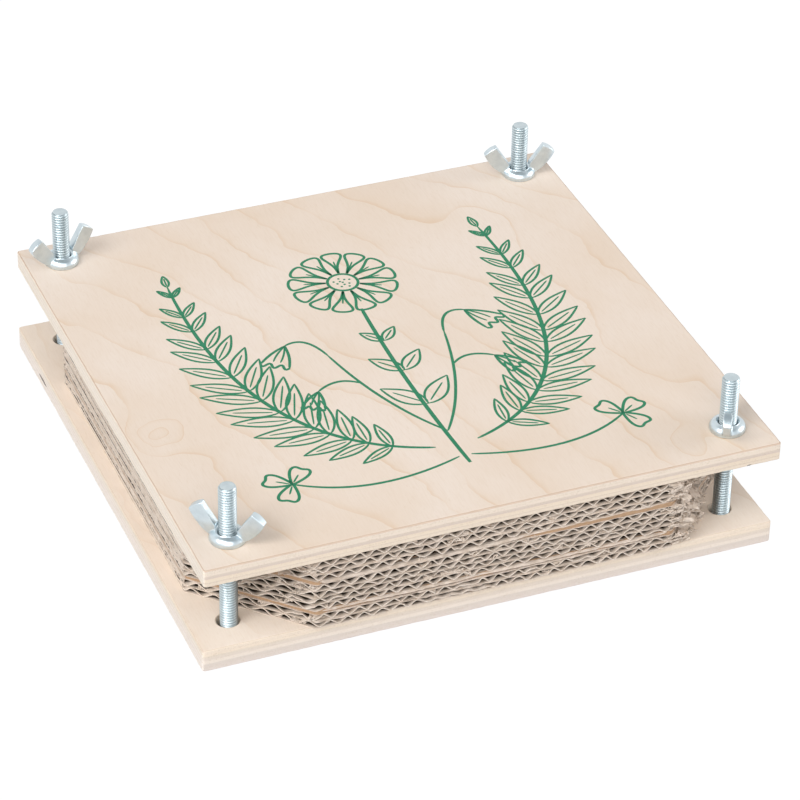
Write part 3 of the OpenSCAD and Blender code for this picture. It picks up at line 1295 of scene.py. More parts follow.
@dataclass
class WingNut:
    """A wing nut whose CAD solid gets the soft edges and lens-shaped wings of a pressed one."""

    corner: Corner
    source: bpy.types.Object
    voxel: float = 0.15
    smoothing: int = 15
    smoothing_share: float = 0.5
    tip_out: float = 10.3
    tip_up: float = 9.9
    lean_degrees: float = 35.0
    half_width: float = 2.55
    thinning: float = 0.2
    stretch: float = 0.07
    root_out: float = 5.0
    root_up: float = 3.0
    mouth_up: float = 2.4
    mouth_r: float = 4.0
    mouth_opening: float = 0.45
    mouth_fade: float = 0.5
    mouth_depth: float = 1.2
    wing_fade: float = 1.5
    wing_share: float = 0.8

    def __post_init__(self) -> None:
        """Takes the axis from the bolt and the seat from the nut's own CAD node."""
        self.node = f"wing_nut_{self.corner.value}"
        low, high = box_mm(f"bolt_{self.corner.value}")
        self.axis = (low + high) / 2
        self.seat = box_mm(self.node)[0][2]

    def softened(self) -> bpy.types.Mesh:
        """Merges a copy of the solid, rebuilds it as even cells and smooths them.

        Returns:
            The mesh.
        """
        work = self.source.data.copy()
        tidy_mesh(work, 0.001 * MM)
        blank = bpy.data.objects.new("nut_blank", work)
        bpy.context.scene.collection.objects.link(blank)
        remesh = blank.modifiers.new("cells", "REMESH")
        remesh.mode = "VOXEL"
        remesh.voxel_size = self.voxel * MM
        smooth = blank.modifiers.new("soften", "SMOOTH")
        smooth.factor = self.smoothing_share
        smooth.iterations = self.smoothing
        graph = bpy.context.evaluated_depsgraph_get()
        mesh = bpy.data.meshes.new_from_object(blank.evaluated_get(graph))
        bpy.data.objects.remove(blank)
        mesh.materials.clear()
        return mesh

    def press(self, points: Array) -> Array:
        """Thins the wings towards their edges and opens the mouth of the bore.

        Along a wing, "out" is the distance from the axis and "width" the distance from the
        wing's leaning middle line. Away from the boss, a wing's thickness is multiplied by
        1 - thinning * (width / half width)^2, and its height and half its reach grow by the
        stretch, which makes up for what the smoothing took. Near the top of the bore, the
        radius grows by the opening times the share of the height over the mouth's start.

        Args:
            points: The mesh's points in millimetres.

        Returns:
            The moved points.
        """
        flat = points[:, :2] - self.axis[:2]
        up = points[:, 2] - self.seat
        radius = np.linalg.norm(flat, axis=1)
        spread = flat[radius > self.wing_share * radius.max()]
        along = np.linalg.eigh(spread.T @ spread)[1][:, 1]
        across = np.array([-along[1], along[0]])
        out, side = flat @ along, flat @ across
        lean = math.radians(self.lean_degrees)
        width = (np.abs(out) - self.tip_out) * math.cos(lean) - (up - self.tip_up) * math.sin(lean)
        away = np.clip((np.abs(out) - self.root_out) / self.wing_fade, 0, 1)
        away = away * np.clip(up - self.root_up, 0, 1)
        side = side * (1 - away * self.thinning * np.clip(width / self.half_width, -1, 1) ** 2)
        near = np.clip((self.mouth_r - radius) / self.mouth_fade, 0, 1)
        near = near * np.clip((up - self.mouth_up) / self.mouth_depth, 0, 1)
        grown = 1 + near * self.mouth_opening / np.maximum(radius, 1)
        out = out * (1 + away * self.stretch / 2)
        plan = (out[:, None] * along + side[:, None] * across) * grown[:, None] + self.axis[:2]
        return np.column_stack([plan, self.seat + up * (1 + away * self.stretch)])

    def build(self) -> bpy.types.Object:
        """Makes the nut as one closed piece.

        Returns:
            The piece.
        """
        mesh = self.softened()
        mesh.vertices.foreach_set("co", (self.press(points_mm(mesh)) * MM).ravel())
        mesh.update()
        piece = finish_piece(mesh, f"{self.node}_pressed", [NUT_ZINC], 180.0)
        stand_for(piece, self.node, self.node)
        return piece


@dataclass(frozen=True)
class Torn:
    """A kind of torn paper: mean and spread of half its width and of its length, in millimetres.

    It curls up or down by up to the curl, in radians, and folds push it by up to the crumple.
    """

    half_width: Pair
    length: Pair
    curl: float
    crumple: float


@dataclass(frozen=True)
class Layer:
    """One sheet or card of the stack, with the numbers of the levels that bound it."""

    node: str
    level: int
    is_card: bool


@dataclass
class Stack:
    """The corrugated sheets and blotting cards between the boards.

    Neighbours share one wavy level, so that they lie on each other without a gap.
    """

    nodes: dict[str, bpy.types.Object]
    liner_t: float = 0.17
    flute_t: float = 0.36
    hair: float = 0.01
    flute_pitch: float = 6.1
    columns_per_flute: int = 14
    end_rows: tuple[float, ...] = (0.0, 0.3, 0.8, 1.3, 1.8, 2.3, 2.9, 3.8, 6.0, 12.0, 26.0)
    # Where the painted shade inside a flute starts and where it is full, measured from the cut.
    painted_shade_start: float = 0.75
    painted_shade_full: float = 1.9
    bend_ease: float = 0.6
    bend_margin: float = 0.25
    sag: float = 0.3
    sag_size: Pair = (48.0, 60.0)
    level_noise: float = 0.16
    level_size: Pair = (22.0, 35.0)
    tooth_steps: Pair = (1.3, 4.2)
    tooth_mean: float = 0.6
    side_step: float = 2.1
    card_covers: tuple[Pair, ...] = ((0.55, 0.55), (1.0, 0.1))
    cover_turn: float = 8.0
    cover_recess: float = 2.2
    cover_blend: float = 4.0
    cover_wander: Pair = (0.3, 9.0)
    cover_fade: float = 20.0
    card_columns: int = 120
    card_ragged: float = 0.12
    card_side: float = 0.8
    laid_askew: float = 0.45
    liner_ragged: float = 0.3
    liner_tint: float = 0.1
    burr: float = 0.5
    burr_steps: Pair = (1.9, 9.0)
    burr_fade: float = 0.8
    flute_ragged: float = 0.35
    pitch_spread: float = 0.025
    lean: Pair = (0.9, 0.7)
    lean_fade: float = 9.0
    zigzag: float = 0.96
    buckle: float = 0.12
    crush_fade: float = 6.0
    glue_press: float = 0.03
    steepest: float = 1.6
    wall_grid: tuple[int, int] = (4, 200)
    wall_inset: Pair = (0.06, 0.3)
    wall_lean: float = 0.45
    # Painted light: the side walls take part of the cut edge's paler tone, so that they look lit.
    wall_painted_light: float = 0.45
    wall_sink: float = 0.4
    tatter: Torn = Torn((2.3, 0.9), (3.6, 1.8), 2.6, 1.7)
    tatters_per_sheet: int = 9
    tear_reach: Pair = (15.0, 7.0)
    tear_crowding: float = 1.2
    tear_turn: float = 0.7
    tear_longer: float = 1.6
    scrap: Torn = Torn((1.5, 0.8), (2.2, 0.7), 3.0, 1.5)
    scraps_per_sheet: int = 14
    scrap_margin: float = 4.0
    scrap_root: float = 1.1
    draws: int = 8
    flap_rise: float = 0.9
    flap_root: float = 0.8
    flap_ragged: float = 0.35
    flap_grid: tuple[int, int] = (8, 6)
    paper_t: float = 0.26
    seed: int = 400

    def __post_init__(self) -> None:
        """Takes the layers, their levels and their outline from the CAD nodes."""
        names = [n for n in self.nodes if n.startswith(("corrugated_sheet", "blotting_card"))]
        names.sort(key=lambda n: box_mm(n)[0][2])
        self.layers = [Layer(n, i, n.startswith("blotting")) for i, n in enumerate(names)]
        self.heights = [box_mm(n)[0][2] for n in names] + [box_mm(names[-1])[1][2]]
        self.low, self.high = box_mm(names[0])
        self.cut = self.corner_cut(next(layer.node for layer in self.layers if layer.is_card))
        self.level_fields = [Wander(self.seed + i) for i in range(len(self.heights))]

    def corner_cut(self, card: str) -> float:
        """Length of a cut corner along each side, from the points on a card's front edge.

        Args:
            card: The CAD node of the card.

        Returns:
            The length in millimetres.
        """
        points = points_mm(self.nodes[card].data)
        front = points[points[:, 1] < points[:, 1].min() + 0.01]
        return float(points[:, 0].max() - front[:, 0].max())

    def middle(self, layer: Layer) -> float:
        """Height half way up a layer."""
        return (self.heights[layer.level] + self.heights[layer.level + 1]) / 2

    def level(self, number: int, x: Array, y: Array) -> Array:
        """Height of a level: even at the boards, and gently wavy between them.

        It is the CAD height, plus a sag shared by all levels and largest in the middle of
        the stack, plus a small wave of its own.

        Args:
            number: The level, counted from the bottom board.
            x: Places along X.
            y: Places along Y.

        Returns:
            The heights.
        """
        share = math.sin(math.pi * number / (len(self.heights) - 1))
        common = self.level_fields[0].field(x, y, *self.sag_size) * self.sag * share
        own = self.level_fields[number].field(x, y, *self.level_size) * self.level_noise
        own = own * min(1.0, 2 * share)
        return self.heights[number] + common + own * (share > 0.01)

    def plan(self, columns: int, noise: Wander, ragged: float, shift: float) -> tuple[Array, ...]:
        """Places the points of a layer in plan, inside the square with cut corners.

        The front lies at the lowest Y, plus how far the place reaches into the cut corner,
        plus the raggedness times a toothed random line, plus the shift where it is straight.
        The back mirrors it. The rows lie behind either end by the end rows' distances.

        Args:
            columns: Number of columns along X.
            noise: Random lines of this layer.
            ragged: How far the cut edge wanders.
            shift: How far forward or back this layer was laid.

        Returns:
            X, Y, the distance behind the front edge and before the back edge.
        """
        x = np.linspace(self.low[0], self.high[0], columns)[:, None]
        reach = np.clip(np.abs(x) - (self.high[0] - self.cut), 0, None)
        fine, coarse = self.tooth_steps
        tooth = self.tooth_mean + (noise.line(x, fine) * 0.5 + noise.line(x + 500, coarse) * 0.5)
        behind = self.tooth_mean + noise.line(x + 900, fine)
        front = self.low[1] + reach + ragged * np.clip(tooth, 0, 2) + shift * (reach == 0)
        back = self.high[1] - reach - ragged * behind + shift * (reach == 0)
        ends = np.array(self.end_rows)[None, :]
        y = np.concatenate([front + ends, (front + back) / 2, (back - ends)[:, ::-1]], axis=1)
        side = noise.line(y, self.side_step) * ragged
        x = np.broadcast_to(x, y.shape).copy()
        x[0] += np.abs(side[0])
        x[-1] -= np.abs(side[-1])
        return x, y, y - front, back - y

    def build(self) -> list[bpy.types.Object]:
        """Makes every sheet and card.

        Returns:
            The pieces, from the bottom upwards.
        """
        return [self.card(layer) if layer.is_card else self.sheet(layer) for layer in self.layers]

    def cover(self, layer: Layer, x: Array) -> Array:
        """Tells how far the sheet above a card sinks over the card's front edge.

        Args:
            layer: The card's layer.
            x: Places along X.

        Returns:
            Shares from 0, for a card whose edge is free, to 1 for a hidden one. They go
            from the card's left share to its right one, and to 0 at the cut corners.
        """
        cards = [item.level for item in self.layers if item.is_card]
        left, right = self.card_covers[cards.index(layer.level)]
        turn = 1 / (1 + np.exp(-(x - self.cover_turn) / self.cover_blend))
        flat = np.clip((self.high[0] - self.cut - np.abs(x)) / self.cover_blend, 0, 1)
        spread, step = self.cover_wander
        wander = 1 + spread * self.level_fields[layer.level].line(x + 77, step)
        return np.clip((left + (right - left) * turn) * wander, 0, 1) * flat

    def card(self, layer: Layer) -> bpy.types.Object:
        """Makes a smooth card between its two levels, laid a little further back.

        Where the sheet above covers its front edge, Y grows by the recess times the cover
        times e^-(distance behind the front / fade).

        Args:
            layer: The card's layer.

        Returns:
            The piece.
        """
        noise = Wander(self.seed + 50 + layer.level)
        x, y, front, _ = self.plan(self.card_columns, noise, self.card_ragged, 0.0)
        y = y + self.cover_recess * self.cover(layer, x) * np.exp(-front / self.cover_fade)
        x = x * (1 - self.card_side / self.high[0])
        under = self.level(layer.level, x, y) + self.hair
        over = self.level(layer.level + 1, x, y) - self.hair
        shell = Shell()
        shell.slab(surface(x, y, under), surface(x, y, over))
        piece = shell.piece(f"{layer.node}_felted", [CARD], 35.0)
        stand_for(piece, layer.node, layer.node)
        return piece

    def sheet(self, layer: Layer) -> bpy.types.Object:
        """Makes a corrugated sheet: two liners with a glued wave of paper between them.

        A liner bends inwards by a random burr times e^-(distance from the cut / fade). Over a
        card that it covers, the lower one sinks by the card's thickness at the front.

        Args:
            layer: The sheet's layer.

        Returns:
            The piece.
        """
        noise = Wander(self.seed + 50 + layer.level)
        width = self.high[0] - self.low[0]
        columns = int(width / self.flute_pitch * self.columns_per_flute)
        shift = self.laid_askew * abs(noise.table[0])
        shell = Shell()
        x, y, front, back = self.plan(columns, noise, self.liner_ragged, shift)
        floor = self.level(layer.level, x, y) + self.hair
        ceiling = self.level(layer.level + 1, x, y) - self.hair
        edge = np.minimum(np.minimum(front, back), self.high[0] - np.abs(x))
        fine, coarse = self.burr_steps
        burr = self.burr * noise.line(x + 40, fine) * np.clip(noise.line(x + 70, coarse) + 0.3, 0, 1)
        bend = burr * np.exp(-edge / self.burr_fade)
        lift, drop = np.clip(bend, 0, None), np.clip(-bend, 0, None)
        below = self.layers[max(layer.level - 1, 0)]
        if below.is_card:
            card_t = self.heights[layer.level] - self.heights[below.level]
            cover = self.cover(below, x)
            reach = np.maximum(self.cover_recess * cover, 0.01)
            lift = lift * 0.3 - cover * card_t * np.clip(1.1 - front / reach, 0, 1)
        liners = (
            (floor + lift, floor + self.liner_t + lift), (ceiling - self.liner_t - drop, ceiling - drop)
        )
        for under, over in liners:
            lower, upper = surface(x, y, under), surface(x, y, over)
            # The liners' broad sides get painted shade away from the cut.
            shell.slab(lower, upper, self.liner_tint, self.painted_shade_tint(edge))
        self.add_flutes(shell, layer, noise, shift, floor, ceiling)
        self.add_side_walls(shell, layer, noise)
        self.add_tatters(shell, layer, noise)
        self.add_scraps(shell, layer, noise)
        piece = shell.piece(f"{layer.node}_fluted", [BOARD_PAPER], 50.0)
        stand_for(piece, layer.node, layer.node)
        return piece

    def add_flutes(
        self, shell: Shell, layer: Layer, noise: Wander, shift: float, floor: Array, ceiling: Array
    ) -> None:
        """Adds the wave of paper to a sheet.

        The wave is partly a sine and partly a rounded zigzag of its phase, which is the
        place along X over the pitch with a slow lean. Its half thickness grows with its
        slope, so that the paper has one thickness. Near the cut edge some flutes are
        crushed: their height shrinks, and they sink onto the lower liner.

        Args:
            shell: The sheet's shell.
            layer: The sheet's layer.
            noise: Random lines of this sheet.
            shift: How far forward or back this sheet was laid.
            floor: Underside of the lower liner.
            ceiling: Top side of the upper liner.
        """
        ragged = Wander(self.seed + 90 + layer.level)
        x, y, front, back = self.plan(floor.shape[0], ragged, self.flute_ragged, shift)
        edge = np.minimum(front, back)
        near = np.exp(-edge / self.crush_fade)
        pitch = self.flute_pitch * (1 + self.pitch_spread * noise.table[3])
        bent = self.lean[1] * noise.line(x + 11, 6.0) * np.exp(-edge / self.lean_fade)
        lean = self.lean[0] * noise.field(x, y, 30.0, 80.0) + bent
        phase = 2 * np.pi * (x / pitch + noise.table[4]) + lean
        sharp = np.arcsin(self.zigzag * np.sin(phase)) / math.asin(self.zigzag)
        wave = 0.5 * np.sin(phase) + 0.5 * sharp + self.buckle * noise.line(x + 23, 2.4) * near
        crush = np.clip(noise.line(x + 31, 4.0) * 1.9 - 0.9, 0, 0.8) * near
        room = (ceiling - floor) / 2 - self.liner_t - self.flute_t / 2 + self.glue_press
        swing = room * (1 - crush)
        height = (floor + ceiling) / 2 - (room - swing) * 0.8 + swing * np.clip(wave, -1, 1)
        slope = np.gradient(height, axis=0) / np.gradient(x, axis=0)
        half = self.flute_t / 2 * np.sqrt(1 + np.clip(slope, -self.steepest, self.steepest) ** 2)
        low_limit, high_limit = floor + self.liner_t * 0.5, ceiling - self.liner_t * 0.5
        under, over = np.maximum(height - half, low_limit), np.minimum(height + half, high_limit)
        # The wave's broad sides get painted shade away from the cut.
        shell.slab(surface(x, y, under), surface(x, y, over), 1.0, self.painted_shade_tint(edge))

    def painted_shade_tint(self, edge: Array) -> Array:
        """Tint of a sheet's cells: 0 at the cut, and -1 where no light gets in any more.

        Args:
            edge: Distance of each point from the cut.

        Returns:
            The tint of each cell, from its middle's distance.
        """
        # Painted shade: cells past the start get darker, and fully dark past the full depth.
        middle = (edge[:-1, :-1] + edge[1:, 1:]) / 2
        return -np.clip((middle - self.painted_shade_start) / (self.painted_shade_full - self.painted_shade_start), 0, 1)

    def add_side_walls(self, shell: Shell, layer: Layer, noise: Wander) -> None:
        """Adds the slanting outer wall of the last flute along both long sides.

        A wall runs from the lower liner's edge up and inwards to the upper liner. Its lean
        and its distance from the edge wander along Y.

        Args:
            shell: The sheet's shell.
            layer: The sheet's layer.
            noise: Random lines of this sheet.
        """
        rows, columns = self.wall_grid
        y = np.linspace(self.low[1] + self.cut + 1, self.high[1] - self.cut - 1, columns)[None, :]
        rise = np.linspace(0, 1, rows)[:, None]
        sink = self.liner_t * self.wall_sink
        for side, edge in ((-1, self.low[0]), (1, self.high[0])):
            wander = self.wall_inset[0] + self.wall_inset[1] * np.abs(noise.line(y + 300 * side, 1.7))
            lean = self.wall_lean * (0.7 + 0.5 * noise.line(y + 700 * side, 16.0))
            x = edge - side * (wander + lean * rise)
            below = self.level(layer.level, x, y) + sink
            above = self.level(layer.level + 1, x, y) - sink
            outer = surface(x, np.broadcast_to(y, x.shape), below + (above - below) * rise)
            inner = outer - [side * self.paper_t, 0, 0]
            if side > 0:
                outer, inner = outer.transpose(1, 0, 2), inner.transpose(1, 0, 2)
            # The wall's broad sides are painted paler, as painted light.
            shell.slab(inner, outer, 1.0, self.wall_painted_light)

    def within(self, value: Array, low: float | Array, high: float | Array) -> Array:
        """Bends values so that they near two limits softly and stay a margin inside them.

        Args:
            value: The values.
            low: Lower limit.
            high: Upper limit.

        Returns:
            Each value, passed through ease * log(1 + e^(distance / ease)) at either limit.
        """
        low, high, ease = low + self.bend_margin, high - self.bend_margin, self.bend_ease
        value = low + ease * np.logaddexp(0, (value - low) / ease)
        return high - ease * np.logaddexp(0, (high - value) / ease)

    def flap(
        self,
        shell: Shell,
        noise: Wander,
        number: int,
        draw: Array,
        kind: Torn,
        place: Array,
        outward: Array,
        height: float,
        longer: float = 0.0,
    ) -> None:
        """Adds one torn flap of paper: a tongue that curls in an arc and crumples to its tip.

        With b from 0 at its root to 1 at its tip, it runs outwards by length * b *
        cos(curl * b / 2) and rises by half of length * b * sin(curl * b / 2), plus folded
        noise times b.

        Args:
            shell: The sheet's shell.
            noise: Random lines of this sheet.
            number: Number of the flap, which picks its part of the noise.
            draw: Its own random values.
            kind: What kind of flap it is.
            place: Middle of its root in plan.
            outward: Its direction in plan.
            height: Height about which its root lies.
            longer: What is added to its length.
        """
        columns, rows = self.flap_grid
        a, b = np.meshgrid(np.linspace(-1, 1, columns), np.linspace(0, 1, rows), indexing="ij")
        along = np.array([-outward[1], outward[0]])
        half_width = kind.half_width[0] + kind.half_width[1] * draw[1]
        length = kind.length[0] + kind.length[1] * draw[2] + longer
        length = length * (1 + self.flap_ragged * noise.line(a * 3 + 10 * number, 0.6))
        curl, height = kind.curl * draw[3], height + self.flap_rise * draw[4]
        fold = np.abs(noise.field(a * 3 + 30 * number, b * 3, 0.9, 0.8)) - 0.4
        out = length * b * np.cos(0.5 * curl * b) - self.flap_root
        rise = length * b * np.sin(0.5 * curl * b) * 0.5 + fold * kind.crumple * b
        ruffle = noise.field(a * 3, b * 3 + 30 * number, 0.9, 0.9)
        side = a * half_width * (1 - 0.3 * b) + 0.5 * kind.crumple * ruffle * b
        flat = place + along * side[..., None] + outward * out[..., None]
        flat = self.within(flat, self.low[:2], self.high[:2])
        z = self.within(height + rise, self.heights[0], self.heights[-1])
        middle = np.concatenate([flat, z[..., None]], axis=2)
        normal = np.cross(np.gradient(middle, axis=0), np.gradient(middle, axis=1))
        normal *= self.paper_t / 2 / np.maximum(np.linalg.norm(normal, axis=2, keepdims=True), 1e-6)
        shell.slab(middle - normal, middle + normal)

    def add_tatters(self, shell: Shell, layer: Layer, noise: Wander) -> None:
        """Adds broad torn flaps where the sheets are ripped at the front right corner.

        Args:
            shell: The sheet's shell.
            layer: The sheet's layer.
            noise: Random lines of this sheet.
        """
        start = np.array([self.high[0] - self.cut, self.low[1]])
        along = np.array([1.0, 1.0]) / math.sqrt(2)
        low_share = 1 - layer.level / len(self.layers)
        reach = self.tear_reach[0] + self.tear_reach[1] * low_share
        longer = self.tear_longer * low_share
        for k in range(self.tatters_per_sheet):
            draw = noise.table[100 + self.draws * k:][:self.draws]
            share = (k + 0.5 + 0.4 * draw[0]) / self.tatters_per_sheet
            place = start + along * (reach * share ** self.tear_crowding - self.flap_root)
            outward, _ = cross_axes(-math.pi / 4 + self.tear_turn * draw[5])
            self.flap(shell, noise, k, draw, self.tatter, place, outward, self.middle(layer), longer)

    def add_scraps(self, shell: Shell, layer: Layer, noise: Wander) -> None:
        """Adds small frayed scraps that hang in the open flutes along the front.

        Args:
            shell: The sheet's shell.
            layer: The sheet's layer.
            noise: Random lines of this sheet.
        """
        half = self.high[0] - self.scrap_margin
        for k in range(self.scraps_per_sheet):
            draw = noise.table[300 + self.draws * k:][:self.draws]
            x = half * draw[0] if k % 3 else -self.high[0] + self.cut * (0.6 + 0.4 * draw[0])
            reach = max(0.0, abs(x) - (self.high[0] - self.cut))
            outward = np.array([math.copysign(0.7, x), -0.7]) if reach else np.array([0.0, -1.0])
            place = np.array([x, self.low[1] + reach + self.scrap_root])
            self.flap(shell, noise, 40 + k, draw, self.scrap, place, outward, self.middle(layer))


@dataclass
class Print:
    """A line print of wild flowers between two fern fronds, on the top board.

    It is a generic drawing of the press's own use. All its lines are thin raised ribbons,
    each a hair higher than the one before, so that no two lie in one plane.
    """

    line_w: float = 1.05
    leaf_w: float = 0.8925
    fine_w: float = 0.8
    rib_w: float = 0.64
    stem_w: float = 1.5
    scale: float = 1.06
    middle: Pair = (0.5, -3.0)
    ink_t: float = 0.03
    sunk: float = 0.01
    step_up: float = 0.00002
    pairs: int = 15
    dots: int = 11
    dot_turn: float = 2.4

    def __post_init__(self) -> None:
        """Starts a shell at the height of the top board's face."""
        self.face = box_mm("top_board")[1][2]
        self.shell = Shell()
        self.strokes = 0

    def stroke(self, path: Array, width: float, taper: float = 0.45) -> None:
        """Lays one ribbon along a path, thinner towards both ends as a pen leaves it.

        Its half width is width / 2 times (taper + (1 - taper) * the fourth root of the sine
        of pi times the share of its length).

        Args:
            path: Points in the plane.
            width: Full width of the line.
            taper: Share of the width that is left at the ends.
        """
        path = path * self.scale + np.array(self.middle)
        way = np.gradient(path, axis=0)
        way /= np.maximum(np.linalg.norm(way, axis=1, keepdims=True), 1e-9)
        left = np.stack([-way[:, 1], way[:, 0]], axis=1)
        share = np.linspace(0, 1, len(path))
        half = width / 2 * (taper + (1 - taper) * np.sin(np.pi * share) ** 0.25)
        sides = np.stack([path - left * half[:, None], path + left * half[:, None]], axis=1)
        low = np.full((*sides.shape[:2], 1), self.face - self.sunk)
        high = low + self.sunk + self.ink_t + self.step_up * self.strokes
        self.shell.slab(np.concatenate([sides, low], axis=2), np.concatenate([sides, high], axis=2))
        self.strokes += 1

    def curve(
        self, start: Sequence[float], bend: Sequence[float], end: Sequence[float], n: int = 40
    ) -> Array:
        """Points of a curve that leaves start towards bend and arrives at end from bend.

        Args:
            start: First point.
            bend: Point that pulls the curve.
            end: Last point.
            n: Number of points.

        Returns:
            (1 - t)^2 start + 2 t (1 - t) bend + t^2 end, for n values of t.
        """
        t = np.linspace(0, 1, n)[:, None]
        return (1 - t) ** 2 * np.array(start) + 2 * t * (1 - t) * np.array(bend) + t ** 2 * np.array(end)

    def leaflet(self, base: Array, angle: float, length: float, belly: float) -> None:
        """Draws a pointed leaflet: two sides that swell and meet at the tip, and a rib.

        With s from 0 to 1 along it, a side swells by belly * length * sin(pi s^0.8).

        Args:
            base: Where it grows from.
            angle: Its direction in radians.
            length: Its length.
            belly: Half its width as a share of its length.
        """
        along, across = cross_axes(angle)
        s = np.linspace(0, 1, 14)[:, None]
        swell = belly * length * np.sin(np.pi * s ** 0.8)
        for side in (-1, 1):
            self.stroke(base + along * length * s + across * side * swell, self.leaf_w)
        self.stroke(base + along * length * (0.12 + 0.62 * s), self.rib_w)

    def frond(self, side: int) -> None:
        """Draws a fern frond: an arching stem with leaflets that grow and shrink along it.

        Args:
            side: -1 for the left one and 1 for the right one.
        """
        stem = self.curve((side * 7, -57), (side * 62, -40), (side * 55, 58), 60)
        self.stroke(stem, self.stem_w, 0.3)
        for k in range(self.pairs):
            t = 0.13 + 0.84 * k / (self.pairs - 1)
            at = stem[int(t * (len(stem) - 1))]
            ahead = stem[min(int(t * (len(stem) - 1)) + 1, len(stem) - 1)] - at
            heading = math.atan2(ahead[1], ahead[0]) if np.any(ahead) else math.pi / 2
            length = 4.5 + 15.5 * math.sin(math.pi * t ** 0.9) ** 0.8
            for turn in (-1, 1):
                self.leaflet(at, heading + turn * math.radians(58 - 22 * t), length, 0.13)
        self.leaflet(stem[-1], math.pi / 2 + side * 0.1, 7.0, 0.16)

    def daisy(self, centre: Sequence[float], radius: float, petals: int) -> None:
        """Draws an open flower: a ring of blunt petals round a dotted disc.

        With s from 0 to 1 round a petal, it reaches out from the disc by sin(pi s)^0.55 of
        the rest of the radius, and aside by sin(2 pi s) * (0.55 + 0.45 sin(pi s)) of its share
        of the ring. The dots lie at the root of their number and at a fixed turn each.

        Args:
            centre: Its middle.
            radius: Its outer radius.
            petals: How many petals it has.
        """
        middle = np.array(centre, float)
        disc = radius * 0.28
        turn = np.linspace(0, 2 * np.pi, 40)
        self.stroke(middle + disc * np.stack([np.cos(turn), np.sin(turn)], axis=1), self.line_w, 1.0)
        s = np.linspace(0, 1, 30)
        for k in range(petals):
            along, across = cross_axes(2 * np.pi * k / petals)
            reach = disc * 1.12 + (radius - disc * 1.12) * np.sin(np.pi * s) ** 0.55
            fullness = np.sin(2 * np.pi * s) * (0.55 + 0.45 * np.sin(np.pi * s))
            spread = radius * math.pi / petals * 0.86 * fullness
            self.stroke(middle + reach[:, None] * along - spread[:, None] * across, self.line_w, 0.8)
            notch = np.linspace(0.45, 0.72, 8)[:, None]
            self.stroke(middle + radius * notch * along, self.rib_w)
        for k in range(self.dots):
            spot = middle + disc * 0.66 * math.sqrt(k / self.dots) * cross_axes(self.dot_turn * k)[0]
            self.stroke(spot + np.array([[-0.35, 0], [0, 0], [0.35, 0]]), self.fine_w, 0.9)

    def bell(self, foot: Sequence[float], lean: float, size: float) -> None:
        """Draws a nodding bell flower at the end of a stalk.

        With s from 0 to 1 along it, a side lies 0.3 sin(0.62 pi s) + 0.12 s^4 aside, and a
        rib 0.1 sin(0.6 pi s), all times the size. The rim is scalloped by a cosine.

        Args:
            foot: Where the stalk ends and the flower starts.
            lean: Direction in which the flower opens, in radians.
            size: Its length.
        """
        along, across = cross_axes(lean)
        base = np.array(foot, float)
        s = np.linspace(0, 1, 16)
        for side in (-1, 1):
            belly = side * size * (0.3 * np.sin(np.pi * s * 0.62) + 0.12 * s ** 4)
            self.stroke(base + size * s[:, None] * along + belly[:, None] * across, self.line_w)
            inner = side * size * 0.1 * np.sin(np.pi * s * 0.6)
            self.stroke(base + size * 0.8 * s[:, None] * along + inner[:, None] * across, self.fine_w * 0.9)
        edge = np.linspace(-1, 1, 25)
        rim = base + size * (1.0 + 0.09 * np.cos(edge * 2.5 * np.pi))[:, None] * along
        self.stroke(rim + size * 0.4 * edge[:, None] * across, self.line_w, 0.9)

    def clover(
        self, root: Sequence[float], bend: Sequence[float], tip: Sequence[float], size: float
    ) -> None:
        """Draws a clover leaf: a stalk with three heart-shaped leaflets at its end.

        A leaflet's outline is a heart. With the angle v from 0 to 2 pi it lies 0.58 - 0.58 *
        cos(v), less a notch round v = pi, along the leaflet, and 0.52 * sin(v) * (0.62 - 0.38
        * cos(v)) across it, both times the size.

        Args:
            root: Where the stalk starts.
            bend: Point that pulls the stalk.
            tip: Where the leaflets meet.
            size: Length of a leaflet.
        """
        stalk = self.curve(root, bend, tip, 30)
        self.stroke(stalk, self.line_w)
        heading = math.atan2(*(stalk[-1] - stalk[-2])[::-1])
        v = np.linspace(0, 2 * np.pi, 44)[:, None]
        reach = size * (0.58 - 0.58 * np.cos(v) - 0.16 * np.exp(-((v - np.pi) / 0.45) ** 2))
        swell = size * 0.52 * np.sin(v) * (0.62 - 0.38 * np.cos(v))
        vein = size * np.linspace(0.12, 0.62, 8)[:, None]
        for turn in (-95, 0, 95):
            along, across = cross_axes(heading + math.radians(turn))
            self.stroke(stalk[-1] + along * reach + across * swell, self.line_w, 1.0)
            self.stroke(stalk[-1] + along * vein, self.rib_w)

    def build(self) -> bpy.types.Object:
        """Draws the whole print.

        Returns:
            The piece.
        """
        for side in (-1, 1):
            self.frond(side)
            stalk = self.curve((0, -50), (side * 14, -30), (side * 20, 2))
            self.stroke(stalk, self.line_w)
            self.stroke(self.curve((side * 20, 2), (side * 23, 16), (side * 31, 12), 20), self.line_w)
            self.bell((side * 31, 12), math.radians(-90 + side * 35), 12.0)
            self.stroke(self.curve((side * 16, -16), (side * 22, -10), (side * 30, -16), 20), self.line_w)
            self.bell((side * 30, -16), math.radians(-90 + side * 30), 9.5)
            self.clover((side * 2, -64), (side * 34, -75), (side * 55, -60), 8.5)
            for rise, length in ((-34, 17), (-14, 13), (4, 9)):
                self.leaflet(np.array([0.0, rise]), math.radians(90 - side * 42), length, 0.2)
        self.stroke(self.curve((0, -68), (-3, -20), (0, 24)), self.stem_w, 0.7)
        self.daisy((0, 41), 18.0, 13)
        piece = self.shell.piece("botanical_line_print", [INK], 30.0)
        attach(piece, "top_board")
        LOG.info("%s has %d strokes", piece.name, self.strokes)
        return piece


@dataclass(frozen=True)
class Lamp:
    """A soft square lamp, with its direction from the press, distance, side and power."""

    name: str
    azimuth: float
    elevation: float
    distance: float
    side: float
    watts: float


